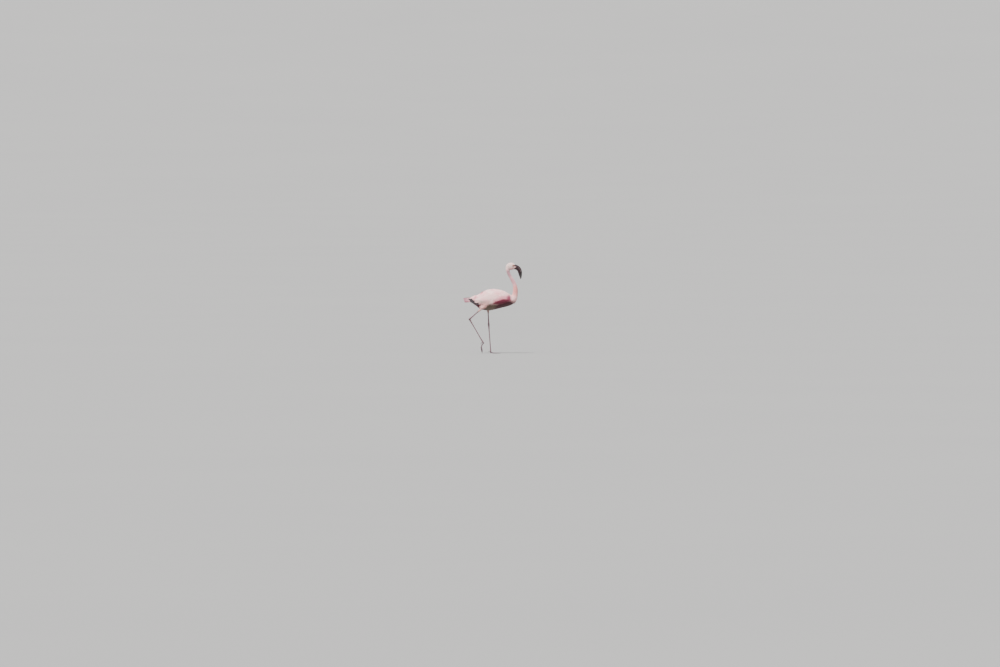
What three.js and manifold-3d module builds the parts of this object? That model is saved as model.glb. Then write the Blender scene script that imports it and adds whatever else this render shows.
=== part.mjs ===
// An adult lesser flamingo (Phoeniconaias minor) in mid stride, life size, in millimetres.
// It faces +X with +Z up and its left side towards +Y. The left foot is planted flat, and the
// right foot hangs from a bent leg with the claw of its middle toe on the ground. The plumage is
// modelled as the closed outer shape of the feathers, out to the tips of wings and tail.
import * as THREE from "three";
import { mergeVertices } from "three/addons/utils/BufferGeometryUtils.js";
import Module from "manifold-3d";

const wasm = await Module();
wasm.setup();

// Driving dimensions.
const CROWN_HEIGHT = 783;
const BACK_HEIGHT = 557;
const BREAST_X = 222;
const TRUNK_LENGTH = 397;
const WING_FRONT_X = 200;
const WING_LENGTH = 412;
const TAIL_TIP_X = -230;
const TAIL_ROOT_X = -112;
const TAIL_WIDTH = 62;
const TRUNK_HALF_WIDTH = 78;
const HEAD_FRONT_X = 226;
const HEAD_LENGTH = 96;
const TARSUS_LENGTH = 238;
const MIDDLE_TOE = 76;
const CLAW_LENGTH = 11;
const EYE_RADIUS = 5.4;
const BILL_HALF_WIDTH = 11.5;

// Gaps and depths that the pieces share.
const GAP = 0.3;
const WING_PROUD = 5;
const WING_SUNK = 7;
const WEB_THICKNESS = 1.4;
const WEB_REACH = 0.9;
const WEB_HOLLOW = 0.26;

// Joints of the two legs.
const RIGHT_KNEE = new THREE.Vector3(6, -54, 460);
const RIGHT_HOCK = new THREE.Vector3(-181, -42, 295);
const LEFT_KNEE = new THREE.Vector3(-25, 52, 452);
const LEFT_HOCK = new THREE.Vector3(-16, 22, 247);
const LEFT_TOE_JOINT = new THREE.Vector3(2, 13, 10);
const RIGHT_TOE_HEADING = new THREE.Vector3(120, 3, -206).normalize();
const RIGHT_TOE_JOINT = RIGHT_HOCK.clone().addScaledVector(RIGHT_TOE_HEADING, TARSUS_LENGTH);

// Finishes.
const finish = (color, roughness) => new THREE.MeshStandardMaterial({ color, roughness, metalness: 0 });
const PALE_PLUME = finish("#f0cfd0", 0.85);
const ROSE_PLUME = finish("#e79aa4", 0.85);
const FLIGHT_PLUME = finish("#2a2024", 0.6);
const LEG_SKIN = finish("#b5606a", 0.55);
const BILL_HORN = finish("#3a1218", 0.4);
const BILL_LOWER_HORN = finish("#5a1a24", 0.4);
const CLAW_HORN = finish("#2b2222", 0.45);
const EYE_SHINE = finish("#d8561f", 0.1);

// ---------------------------------------------------------------- solids and surfaces

// A closed three.js geometry as a manifold solid, turned to face outwards.
function solidOf(geometry) {
  const bare = geometry.index ? geometry.toNonIndexed() : geometry.clone();
  for (const name of ["normal", "uv"]) bare.deleteAttribute(name);
  const merged = mergeVertices(bare, 1e-3);
  const build = (triVerts) => {
    const vertProperties = merged.attributes.position.array;
    return new wasm.Manifold(new wasm.Mesh({ numProp: 3, vertProperties, triVerts }));
  };
  const triVerts = new Uint32Array(merged.index.array);
  const solid = build(triVerts);
  if (solid.volume() >= 0) return solid;
  for (let i = 0; i < triVerts.length; i += 3) {
    [triVerts[i + 1], triVerts[i + 2]] = [triVerts[i + 2], triVerts[i + 1]];
  }
  return build(triVerts);
}

// The largest body of a solid as a three.js geometry, without the crumbs that a cut leaves.
function geometryOf(solid) {
  const bodies = solid.decompose().sort((a, b) => b.volume() - a.volume());
  const { numProp, numVert, vertProperties, triVerts } = bodies[0].getMesh();
  const position = new Float32Array(numVert * 3);
  for (let i = 0; i < numVert; i++) {
    position.set(vertProperties.subarray(i * numProp, i * numProp + 3), i * 3);
  }
  const geometry = new THREE.BufferGeometry();
  geometry.setAttribute("position", new THREE.BufferAttribute(position, 3));
  geometry.setIndex(new THREE.BufferAttribute(new Uint32Array(triVerts), 1));
  geometry.computeVertexNormals();
  return geometry;
}

const joined = (first, ...others) => others.reduce((all, one) => all.add(one), first);
const without = (first, ...others) => others.reduce((all, one) => all.subtract(one), first);

// Smooth values between stations. Each row is [place, value, value...], in rising order of place.
function stations(rows) {
  const places = rows.map((row) => row[0]);
  const values = rows.flatMap((row) => row.slice(1));
  const curve = new THREE.CubicInterpolant(places, values, rows[0].length - 1);
  return (place) => [...curve.evaluate(THREE.MathUtils.clamp(place, places[0], places.at(-1)))];
}

// 1 along a body and falling to 0 as a quarter circle over the share `cap` at each end.
function rounded(share, frontCap, backCap) {
  const front = Math.min(1, share / frontCap);
  const back = Math.min(1, (1 - share) / backCap);
  return Math.sqrt(1 - (1 - front) ** 2) * Math.sqrt(1 - (1 - back) ** 2);
}

// A sphere whose rows become rings: place(share, angle) gives the point for a share of the length.
function ringBody(place, around, along) {
  const sphere = new THREE.SphereGeometry(1, around, along);
  const { position, uv } = sphere.attributes;
  for (let i = 0; i < position.count; i++) {
    const share = (1 - Math.cos(Math.PI * (1 - uv.getY(i)))) / 2;
    const point = place(share, uv.getX(i) * 2 * Math.PI);
    position.setXYZ(i, point.x, point.y, point.z);
  }
  return solidOf(sphere);
}

// A body of upright rings along X. shape(x) gives [top, bottom, halfWidth]; extra grows it all over.
function uprightBody({ front, length, shape, caps, around, along, extra = 0, droop = 0 }) {
  const place = (share, angle) => {
    const x = front + extra - share * (length + 2 * extra);
    const [top, bottom, wide] = shape(x);
    const round = rounded(share, ...caps);
    const middle = (top + bottom) / 2;
    const tall = ((top - bottom) / 2 + extra) * round;
    const y = (wide + extra) * round * Math.cos(angle);
    return new THREE.Vector3(x, y, middle + tall * Math.sin(angle) - droop * Math.abs(y));
  };
  return ringBody(place, around, along);
}

// A tube with flat ends along a curve, from share `from` to share `to` of its length.
// radii(share) gives [in the plane of the bend, across it]; `across` is the direction across it.
function tube({ curve, radii, across, from = 0, to = 1, around = 16, along = 12 }) {
  const cylinder = new THREE.CylinderGeometry(1, 1, 1, around, along);
  const { position } = cylinder.attributes;
  const centre = new THREE.Vector3();
  for (let i = 0; i < position.count; i++) {
    const share = from + (0.5 - position.getY(i)) * (to - from);
    const [inPlane, sideways] = radii(share);
    const heading = curve.getTangentAt(share);
    const normal = new THREE.Vector3().crossVectors(across, heading).normalize();
    const side = new THREE.Vector3().crossVectors(heading, normal).normalize();
    curve.getPointAt(share, centre);
    centre.addScaledVector(normal, inPlane * position.getX(i));
    centre.addScaledVector(side, sideways * position.getZ(i));
    position.setXYZ(i, centre.x, centre.y, centre.z);
  }
  return solidOf(cylinder);
}

const ACROSS_BODY = new THREE.Vector3(0, 1, 0);
const sideCurve = (points, y = 0) =>
  new THREE.CatmullRomCurve3(points.map(([x, z]) => new THREE.Vector3(x, y, z)), false, "centripetal");

// A flat outline in the XZ plane, extruded across the body from y to y + width.
function acrossSlab(shape, y, width, curveSegments = 4) {
  const slab = new THREE.ExtrudeGeometry(shape, { depth: width, bevelEnabled: false, curveSegments });
  slab.rotateX(Math.PI / 2);
  slab.translate(0, y + width, 0);
  return solidOf(slab);
}

// A thick block on the far side of a plane through `point`, facing `normal`.
function halfSpace(point, normal, size = 600) {
  const block = new THREE.BoxGeometry(size, size, size);
  block.translate(0, 0, size / 2);
  const turn = new THREE.Quaternion().setFromUnitVectors(new THREE.Vector3(0, 0, 1), normal);
  block.applyQuaternion(turn);
  block.translate(point.x, point.y, point.z);
  return solidOf(block);
}

function ball(centre, radius, stretch = new THREE.Vector3(1, 1, 1), around = 12) {
  const sphere = new THREE.SphereGeometry(radius, around, Math.round(around * 0.7));
  sphere.scale(stretch.x, stretch.y, stretch.z);
  sphere.translate(centre.x, centre.y, centre.z);
  return solidOf(sphere);
}

const flamingo = new THREE.Group();
function addPiece(name, solid, material) {
  const mesh = new THREE.Mesh(geometryOf(solid), material);
  mesh.name = name;
  flamingo.add(mesh);
}

// ---------------------------------------------------------------- trunk, wings and tail

// Rings of the trunk from the tail's root to the breast: [x, top, bottom, half width].
const trunkShape = stations([
  [BREAST_X - TRUNK_LENGTH - 30, 474, 446, 20],
  [-175, 480, 438, 27],
  [-140, 490, 416, 40],
  [-100, 505, 392, 53],
  [-60, 530, 378, 66],
  [-15, BACK_HEIGHT - 4, 372, TRUNK_HALF_WIDTH - 2],
  [40, BACK_HEIGHT, 382, TRUNK_HALF_WIDTH],
  [95, BACK_HEIGHT - 10, 396, 74],
  [135, 530, 405, 66],
  [165, 512, 415, 56],
  [190, 498, 426, 46],
  [210, 486, 440, 34],
  [BREAST_X, 478, 452, 24],
]);
const trunkBody = (extra, around = 20, along = 18) =>
  uprightBody({
    front: BREAST_X, length: TRUNK_LENGTH, shape: trunkShape, caps: [0.06, 0.09], around, along, extra,
  });

// The wing's outline from the side. Its hind edge steps in and out round the tips of the long
// feathers: WING_TIPS lists the tips from the upper edge to the lower, and WING_NOTCHES the gap
// above each. The pocket for the wing is `margin` larger and runs straight from tip to tip.
const WRIST = [184, 484];
const WING_TIPS = [[-190, 484], [-198, 467], [-190, 447], [-164, 431], [-134, 419], [-98, 414]];
const WING_NOTCHES = [[-170, 490], [-176, 474], [-180, 458], [-162, 442], [-134, 430], [-104, 424]];
function wingOutline(margin) {
  const shape = new THREE.Shape();
  const put = ([x, z], dx, dz) => new THREE.Vector2(x + dx * margin, z + dz * margin);
  const start = put(WRIST, 1, 0);
  shape.moveTo(start.x, start.y);
  shape.splineThru([put([150, 600], 1, 1), put([40, 640], 0, 1), put([-90, 600], -1, 1)]);
  WING_TIPS.forEach((tip, i) => {
    const notch = put(WING_NOTCHES[i], -1, 1);
    const corner = put(tip, -2, -1);
    if (margin === 0 || i === 0) shape.lineTo(notch.x, notch.y);
    shape.lineTo(corner.x, corner.y);
  });
  shape.splineThru([put([-40, 419], 0, -1), put([40, 423], 0, -1), put([110, 434], 0, -1),
    put([160, 454], 1, -1), start]);
  return shape;
}

// The strip of back between the wings, seen from above, which narrows towards the tail.
const MANTLE_EDGE = [[230, 30], [140, 34], [60, 30], [-60, 16], [-150, 8], [-240, 4]];
function mantleStrip(margin) {
  const shape = new THREE.Shape();
  const edge = MANTLE_EDGE.map(([x, y]) => new THREE.Vector2(x, y + margin));
  const mirrored = edge.map(({ x, y }) => new THREE.Vector2(x, -y)).reverse();
  shape.setFromPoints([...edge, ...mirrored]);
  const height = 500;
  const strip = new THREE.ExtrudeGeometry(shape, { depth: height, bevelEnabled: false });
  strip.translate(0, 0, 300);
  return solidOf(strip);
}

// The wing's outer face runs further back than the trunk, to carry the tips of the flight
// feathers. The long feathers of the shoulder stand up from it in a dome that ends in a step.
const wingShape = stations([
  [-220, 476, 430, 20],
  [-175, 487, 424, 30],
  [-140, 496, 412, 42],
  [-105, 505, 392, 54],
  [-86, 513, 383, 60],
  [-70, 529, 378, 66],
  [-45, 544, 374, 72],
  [0, BACK_HEIGHT - 2, 372, TRUNK_HALF_WIDTH - 1],
  [50, BACK_HEIGHT, 382, TRUNK_HALF_WIDTH],
  [100, BACK_HEIGHT - 8, 397, 73],
  [135, 533, 405, 66],
  [165, 514, 415, 56],
  [205, 490, 433, 38],
]);
const wingBody = (extra) =>
  uprightBody({
    front: WING_FRONT_X, length: WING_LENGTH, shape: wingShape, caps: [0.1, 0.05], around: 20, along: 20,
    extra,
  });
const wingOuter = wingBody(WING_PROUD);
const wingCore = (extra) => trunkBody(extra - WING_SUNK, 16, 14);
const WING_REACH = 130;
const PRIMARY_LINE = { from: new THREE.Vector3(-92, 0, 430), normal: new THREE.Vector3(-0.42, 0, -0.908) };

function wing(side, margin) {
  const near = side > 0 ? 0 : -WING_REACH;
  const slab = acrossSlab(wingOutline(margin), near, WING_REACH);
  return slab.subtract(wingCore(-margin)).subtract(mantleStrip(-margin));
}

for (const [name, side] of [["left", 1], ["right", -1]]) {
  const whole = wingOuter.intersect(wing(side, 0));
  const { from, normal } = PRIMARY_LINE;
  const beyond = (offset) => halfSpace(from.clone().addScaledVector(normal, offset), normal);
  addPiece(`wing_${name}`, whole.subtract(beyond(0)), PALE_PLUME);
  addPiece(`flight_feathers_${name}`, whole.intersect(beyond(GAP)), FLIGHT_PLUME);
}
const wingPockets = joined(wing(1, GAP), wing(-1, GAP));

// The tail: a low roof of long feathers with a notched end, thick at its root with the coverts.
const tailShape = stations([
  [TAIL_TIP_X, 466, 456, 31],
  [-205, 473, 455, 33],
  [-180, 480, 450, 31],
  [-150, 485, 442, 28],
  [-110, 488, 430, 24],
]);
const TAIL_DROOP = 0.6;
const TAIL_FEATHERS = 7;
function tailNotches() {
  const notches = [];
  const pitch = TAIL_WIDTH / TAIL_FEATHERS;
  for (let i = 1; i < TAIL_FEATHERS; i++) {
    const y = (i - TAIL_FEATHERS / 2) * pitch;
    const notch = new THREE.CylinderGeometry(0.05, pitch * 0.42, 16, 4);
    notch.rotateZ(-Math.PI / 2);
    notch.scale(1, 1, 6);
    notch.translate(TAIL_TIP_X + 3 + Math.abs(i - TAIL_FEATHERS / 2) * 2.4, y, 447);
    notches.push(solidOf(notch));
  }
  return notches;
}
const tailLoft = uprightBody({
  front: TAIL_ROOT_X, length: TAIL_ROOT_X - TAIL_TIP_X, shape: tailShape, caps: [0.2, 0.06],
  around: 14, along: 7, droop: TAIL_DROOP,
});

// ---------------------------------------------------------------- neck and head

const neckCurve = sideCurve([
  [148, 464], [184, 460], [205, 481], [212, 515], [214, 547], [211, 578], [200, 610], [181, 643],
  [162, 676], [150, 706], [148, 732], [158, 756],
]);
const neckRadii = stations([
  [0, 30, 30],
  [0.1, 33, 31],
  [0.2, 29.5, 26.5],
  [0.3, 24.5, 22],
  [0.42, 20.5, 18.5],
  [0.56, 17.6, 16],
  [0.7, 16, 14.6],
  [0.84, 16.2, 14.6],
  [0.93, 18, 16],
  [1, 16, 15],
]);
const NECK_CUTS = { trunk: 0.315, lower: 0.54, middle: 0.75, head: 0.915 };
const neckLength = neckCurve.getLength();
const gapShare = GAP / neckLength;
const neckPart = (from, to, along) =>
  tube({ curve: neckCurve, radii: neckRadii, across: ACROSS_BODY, from, to, around: 16, along });

addPiece("neck_lower", neckPart(NECK_CUTS.trunk + gapShare, NECK_CUTS.lower, 5), PALE_PLUME);
addPiece("neck_middle", neckPart(NECK_CUTS.lower + gapShare, NECK_CUTS.middle, 6), PALE_PLUME);

// The feathered head: a round crown, full cheeks and a face that narrows to the bill.
const headShape = stations([
  [132, 763, 727, 14],
  [148, 774, 721, 18.5],
  [167, CROWN_HEIGHT - 1, 717, 21.2],
  [184, CROWN_HEIGHT - 1, 716, 20],
  [198, 777.5, 719.5, 16.4],
  [209, 768.5, 724, 12.8],
  [224, 757, 730, 10.5],
]);
const headBody = (extra) =>
  uprightBody({
    front: HEAD_FRONT_X, length: HEAD_LENGTH, shape: headShape, caps: [0.1, 0.22], around: 18, along: 13,
    extra,
  });
const neckUnderHead = neckPart(NECK_CUTS.middle + gapShare, NECK_CUTS.head, 5);
addPiece("neck_upper", neckUnderHead.subtract(headBody(GAP)), PALE_PLUME);
const CULMEN_ROOT = new THREE.Vector3(212, 0, 766);
const CHIN_ROOT = new THREE.Vector3(200, 0, 722);
const faceRise = CULMEN_ROOT.clone().sub(CHIN_ROOT).normalize();
const FACE_NORMAL = new THREE.Vector3().crossVectors(ACROSS_BODY, faceRise).normalize();
const facePlane = (offset) =>
  halfSpace(CULMEN_ROOT.clone().addScaledVector(FACE_NORMAL, offset), FACE_NORMAL);

const EYES = [["left", 1], ["right", -1]].map(([name, side]) => ({
  name,
  centre: new THREE.Vector3(193, side * 14.6, 754),
}));
const eyeSockets = EYES.map(({ centre }) => ball(centre, EYE_RADIUS + 2 * GAP, undefined, 10));
const headNeck = neckPart(NECK_CUTS.head + gapShare, 1, 3);
addPiece("head", without(joined(headBody(0), headNeck), facePlane(0), ...eyeSockets), PALE_PLUME);
for (const { name, centre } of EYES) addPiece(`eye_${name}`, ball(centre, EYE_RADIUS), EYE_SHINE);

// ---------------------------------------------------------------- bill

const billCurve = sideCurve([
  [192, 748], [209, 744.5], [228, 737.5], [243, 724.5], [252, 705], [256, 683], [258.5, 661], [259.5, 640],
]);
const billRadii = stations([
  [0, 21.5, BILL_HALF_WIDTH],
  [0.13, 20.8, BILL_HALF_WIDTH],
  [0.29, 20, BILL_HALF_WIDTH - 0.4],
  [0.45, 18.8, BILL_HALF_WIDTH - 1],
  [0.6, 16.8, BILL_HALF_WIDTH - 1.8],
  [0.74, 13.6, BILL_HALF_WIDTH - 3],
  [0.87, 9, BILL_HALF_WIDTH - 4.6],
  [0.95, 5.6, BILL_HALF_WIDTH - 6.8],
  [1, 3, 2.6],
]);
const billWhole = tube({
  curve: billCurve, radii: billRadii, across: ACROSS_BODY, around: 16, along: 14,
}).intersect(facePlane(GAP));

// The line of the mouth, as a ribbon GAP thick that parts the shallow upper half from the deep lower.
const mouthPlace = stations([[0, 0.3], [0.3, 0.36], [0.6, 0.36], [0.85, 0.1], [1, -0.1]]);
function mouthRibbon() {
  const steps = 10;
  const edge = (offset) =>
    Array.from({ length: steps + 1 }, (_, i) => {
      const share = i / steps;
      const heading = billCurve.getTangentAt(share);
      const normal = new THREE.Vector3().crossVectors(ACROSS_BODY, heading).multiplyScalar(-1);
      const point = billCurve.getPointAt(share);
      point.addScaledVector(normal, mouthPlace(share)[0] * billRadii(share)[0] + offset);
      return new THREE.Vector2(point.x, point.z);
    });
  const beyondTip = new THREE.Vector2(260.8, 630);
  const shape = new THREE.Shape([...edge(GAP / 2), beyondTip, ...edge(-GAP / 2).reverse()]);
  return acrossSlab(shape, -30, 60);
}
const mandibles = billWhole.subtract(mouthRibbon()).decompose();
mandibles.sort((a, b) => b.boundingBox().max[0] - a.boundingBox().max[0]);
addPiece("bill_upper", mandibles[0], BILL_HORN);
addPiece("bill_lower", mandibles[1], BILL_LOWER_HORN);

// ---------------------------------------------------------------- legs

const alongLine = (from, to, share) => new THREE.Vector3().lerpVectors(from, to, share);
const line = (from, to) => new THREE.LineCurve3(from, to);

// The feathered upper leg, which leaves the trunk and narrows to a cuff on the bare leg.
function thigh(knee, hock, rows) {
  const start = alongLine(knee, hock, -0.12);
  const end = alongLine(knee, hock, rows.at(-1)[0]);
  const radiiOf = stations(rows);
  const reach = rows.at(-1)[0] + 0.12;
  return tube({
    curve: line(start, end), across: ACROSS_BODY, around: 14, along: 7,
    radii: (share) => radiiOf(share * reach - 0.12),
  });
}

// The bare leg: the shin down to the hock, and the tarsus down to the toes.
const SHIN_RADII = stations([[0, 5.2, 5.2], [0.5, 5, 5], [0.8, 6.2, 6], [1, 8.6, 8]]);
const TARSUS_RADII = stations([
  [0, 8.6, 8], [0.08, 6.4, 6.2], [0.2, 5, 4.6], [0.6, 4.5, 4.2], [0.9, 5.2, 5.2], [1, 6.4, 6.6],
]);
function bareLeg(knee, hock, toeJoint, cuffShare) {
  const cuff = alongLine(knee, hock, cuffShare);
  const bisector = new THREE.Vector3()
    .subVectors(knee, hock).normalize()
    .sub(new THREE.Vector3().subVectors(toeJoint, hock).normalize())
    .normalize();
  const shin = tube({
    curve: line(cuff, hock), radii: SHIN_RADII, across: ACROSS_BODY, around: 10, along: 4,
  });
  const tarsus = tube({
    curve: line(hock, toeJoint), radii: TARSUS_RADII, across: ACROSS_BODY, around: 10, along: 6,
  });
  const knob = ball(hock, 9.2, new THREE.Vector3(1, 0.95, 1), 8);
  const above = (offset) => halfSpace(hock.clone().addScaledVector(bisector, offset), bisector);
  return {
    shin: joined(shin, knob).intersect(above(GAP / 2)),
    tarsus: joined(tarsus, knob).subtract(above(-GAP / 2)),
  };
}

const trunkClear = trunkBody(GAP);
const wingClear = wingBody(WING_PROUD + GAP).intersect(wingPockets);
const THIGH_RIGHT = [
  [-0.12, 28, 24], [0.05, 28, 25], [0.2, 25, 23], [0.33, 18.5, 18], [0.45, 12.5, 12.5], [0.56, 8.8, 8.8],
  [0.62, 7.2, 7.2],
];
const THIGH_LEFT = [
  [-0.12, 28, 24], [0.1, 28, 25], [0.25, 23.5, 22], [0.36, 15.5, 15], [0.45, 9.8, 9.8], [0.52, 7, 7],
];

// ---------------------------------------------------------------- feet

// A toe: a padded tube along a curve, thicker at its knuckles.
function toe(curve, across, base, tip) {
  const knuckle = (share) => 1 + 0.1 * Math.cos(share * Math.PI * 5);
  const radii = (share) => {
    const radius = THREE.MathUtils.lerp(base, tip, share) * knuckle(share);
    return [radius, radius * 1.08];
  };
  return tube({ curve, radii, across, around: 7, along: 4 });
}

// A claw: a blunt cone that goes on from its toe and bends towards `down` at its point.
function claw(curve, heading, down) {
  const root = curve.getPointAt(1).addScaledVector(heading, GAP);
  const point = root.clone().addScaledVector(heading, CLAW_LENGTH).addScaledVector(down, 1.2);
  const middle = root.clone().addScaledVector(heading, CLAW_LENGTH * 0.55).addScaledVector(down, -0.5);
  const bend = new THREE.CatmullRomCurve3([root, middle, point]);
  const across = new THREE.Vector3().crossVectors(heading, down).normalize();
  const radii = (share) => [2.5 - 1.9 * share, 2.4 - 1.8 * share];
  return tube({ curve: bend, across, radii, around: 6, along: 3 });
}

// The skin between two toes: a thin sheet whose free edge curves back from tip to tip.
function web(inner, outer) {
  const sheet = new THREE.BoxGeometry(1, 1, 1, 4, 3, 1);
  const { position } = sheet.attributes;
  for (let i = 0; i < position.count; i++) {
    const across = position.getX(i) + 0.5;
    const along = (position.getY(i) + 0.5) * (WEB_REACH - WEB_HOLLOW * Math.sin(Math.PI * across));
    const a = inner.getPointAt(along);
    const b = outer.getPointAt(along);
    const point = new THREE.Vector3().lerpVectors(a, b, across);
    const spread = new THREE.Vector3().subVectors(b, a);
    const normal = new THREE.Vector3().crossVectors(inner.getTangentAt(along), spread).normalize();
    point.addScaledVector(normal, position.getZ(i) * WEB_THICKNESS);
    position.setXYZ(i, point.x, point.y, point.z);
  }
  return solidOf(sheet);
}

// The toes of a foot: name, turn from straight ahead, and share of the middle toe's length.
// Positive turns lead away from the body's middle.
const TOES = [
  { name: "inner", turn: -31, share: 0.8 },
  { name: "middle", turn: 1, share: 1 },
  { name: "outer", turn: 31, share: 0.88 },
];
const TOE_RADIUS = { base: 4.4, tip: 2.9 };
const UP = new THREE.Vector3(0, 0, 1);

// A foot with its toes, webs and claws. toeCurve(toe) gives the line of a toe, from the joint to
// the claw; `ankle` is the stub of the leg that the foot grows from.
function foot({ name, toeCurve, clawDown, hindCurve, joint, ankle }) {
  const curves = TOES.map(toeCurve);
  const toes = curves.map((curve) => toe(curve, ACROSS_BODY, TOE_RADIUS.base, TOE_RADIUS.tip));
  const webs = [web(curves[0], curves[1]), web(curves[1], curves[2])];
  const hind = tube({
    curve: hindCurve, across: ACROSS_BODY, radii: (share) => [3 - 0.8 * share, 3 - 0.8 * share],
    around: 6, along: 2,
  });
  const pad = ball(joint, 6.6, new THREE.Vector3(1, 1, 0.95), 8);
  addPiece(`foot_${name}`, onGround(joined(pad, ...toes, ...webs, hind, ankle)), LEG_SKIN);
  [...TOES.map((one) => one.name), "hind"].forEach((toeName, i) => {
    const curve = i < curves.length ? curves[i] : hindCurve;
    const point = claw(curve, curve.getTangentAt(1), clawDown);
    addPiece(`claw_${name}_${toeName}`, onGround(point), CLAW_HORN);
  });
}

const ground = halfSpace(new THREE.Vector3(0, 0, 0), UP.clone().negate());
const onGround = (solid) => solid.subtract(ground);

// The planted left foot: its toes run out flat from the joint, on soles cut level at the ground.
function flatToe({ turn, share }) {
  const heading = THREE.MathUtils.degToRad(turn);
  const length = MIDDLE_TOE * share;
  const at = (d, z) =>
    new THREE.Vector3(
      LEFT_TOE_JOINT.x + d * Math.cos(heading), LEFT_TOE_JOINT.y + d * Math.sin(heading), z);
  return new THREE.CatmullRomCurve3(
    [at(0, 8), at(length * 0.22, 4.2), at(length * 0.6, 2.7), at(length, 1.9)]);
}
const leftHindRoot = LEFT_TOE_JOINT.clone().add(new THREE.Vector3(-4, -4, 9));
const leftHind = new THREE.CatmullRomCurve3([
  leftHindRoot, leftHindRoot.clone().add(new THREE.Vector3(-7, -2, 0)),
  leftHindRoot.clone().add(new THREE.Vector3(-13, -3, -4)),
]);

// The hanging right foot: its toes fold back from the joint and then drop to the ground.
// The middle claw's point is worn flat: it would reach CLAW_BITE below the ground, and is cut there.
const CLAW_BITE = 0.9;
const FOLD = { back: 21, drop: 36 };
function hangingToe({ turn, share }) {
  const aside = -Math.sin(THREE.MathUtils.degToRad(turn * 0.55)) * MIDDLE_TOE * share;
  const reach = share ** 1.1;
  const { x, y, z } = RIGHT_TOE_JOINT;
  const toeEnd = CLAW_LENGTH - CLAW_BITE;
  const floorGap = z - FOLD.drop - toeEnd;
  const at = (back, spread, down) =>
    new THREE.Vector3(x - back * reach, y + aside * spread, z - down * reach);
  return new THREE.CatmullRomCurve3([
    at(0, 0, 0),
    at(FOLD.back * 0.62, 0.25, FOLD.drop * 0.42),
    at(FOLD.back, 0.6, FOLD.drop),
    at(FOLD.back - 3, 0.85, FOLD.drop + floorGap * 0.5),
    at(FOLD.back - 9, 1, FOLD.drop + floorGap),
  ]);
}
const rightHindRoot = RIGHT_TOE_JOINT.clone().add(new THREE.Vector3(-8, 3, 6));
const rightHind = new THREE.CatmullRomCurve3([
  rightHindRoot, rightHindRoot.clone().add(new THREE.Vector3(-7, 2, -1)),
  rightHindRoot.clone().add(new THREE.Vector3(-11, 3, -7)),
]);

// Each leg: the feathered thigh, the bare shin, the tarsus and the foot. The cut that parts the
// tarsus from the foot is ANKLE_CUT above the toes' joint.
const ANKLE_CUT = 13;
const LEGS = [
  {
    name: "left", knee: LEFT_KNEE, hock: LEFT_HOCK, joint: LEFT_TOE_JOINT, rows: THIGH_LEFT,
    toeCurve: flatToe, clawDown: UP.clone().negate(), hindCurve: leftHind,
  },
  {
    name: "right", knee: RIGHT_KNEE, hock: RIGHT_HOCK, joint: RIGHT_TOE_JOINT, rows: THIGH_RIGHT,
    toeCurve: hangingToe, clawDown: new THREE.Vector3(-1, 0, 0), hindCurve: rightHind,
  },
];
for (const leg of LEGS) {
  const { name, knee, hock, joint, rows } = leg;
  const cuffShare = rows.at(-1)[0];
  const { shin, tarsus } = bareLeg(knee, hock, joint, cuffShare - 0.1);
  const shinward = new THREE.Vector3().subVectors(hock, knee).normalize();
  const underCuff = halfSpace(alongLine(knee, hock, cuffShare).addScaledVector(shinward, GAP), shinward);
  const upward = new THREE.Vector3().subVectors(hock, joint).normalize();
  const above = (offset) => halfSpace(joint.clone().addScaledVector(upward, ANKLE_CUT + offset), upward);
  addPiece(`thigh_${name}`, without(thigh(knee, hock, rows), trunkClear, wingClear), ROSE_PLUME);
  addPiece(`shin_${name}`, shin.intersect(underCuff), LEG_SKIN);
  addPiece(`tarsus_${name}`, tarsus.intersect(above(GAP / 2)), LEG_SKIN);
  foot({ ...leg, ankle: tarsus.subtract(above(-GAP / 2)) });
}

// ---------------------------------------------------------------- trunk and tail, cut to their neighbours

const neckRoot = neckPart(0, NECK_CUTS.trunk, 5);
addPiece("trunk", without(joined(trunkBody(0), neckRoot), wingPockets), PALE_PLUME);
addPiece("tail", without(tailLoft, trunkClear, wingPockets, ...tailNotches()), ROSE_PLUME);

// The origin is on the ground under the middle of the model.
const box = new THREE.Box3().setFromObject(flamingo);
const middle = box.getCenter(new THREE.Vector3());
flamingo.position.set(-middle.x, -middle.y, -box.min.z);

const model = new THREE.Group();
model.add(flamingo);
export default model;
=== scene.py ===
"""A walking lesser flamingo as a life-size museum model: one skin, its plumage, bill, eyes, claws and floor.

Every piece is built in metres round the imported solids: +X points where the bird walks, +Z up, and the camera
looks along +Y. The skin is one closed mesh that lies inside the solids by the depth of the coat. The plumage
is laid over it as closed vanes, each of which follows the skin from its root to its tip.
"""

from __future__ import annotations

import logging
import math
from dataclasses import dataclass, field
from enum import Enum

import bmesh
import bpy
import numpy as np
from mathutils import Matrix, Vector
from mathutils.bvhtree import BVHTree


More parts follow.
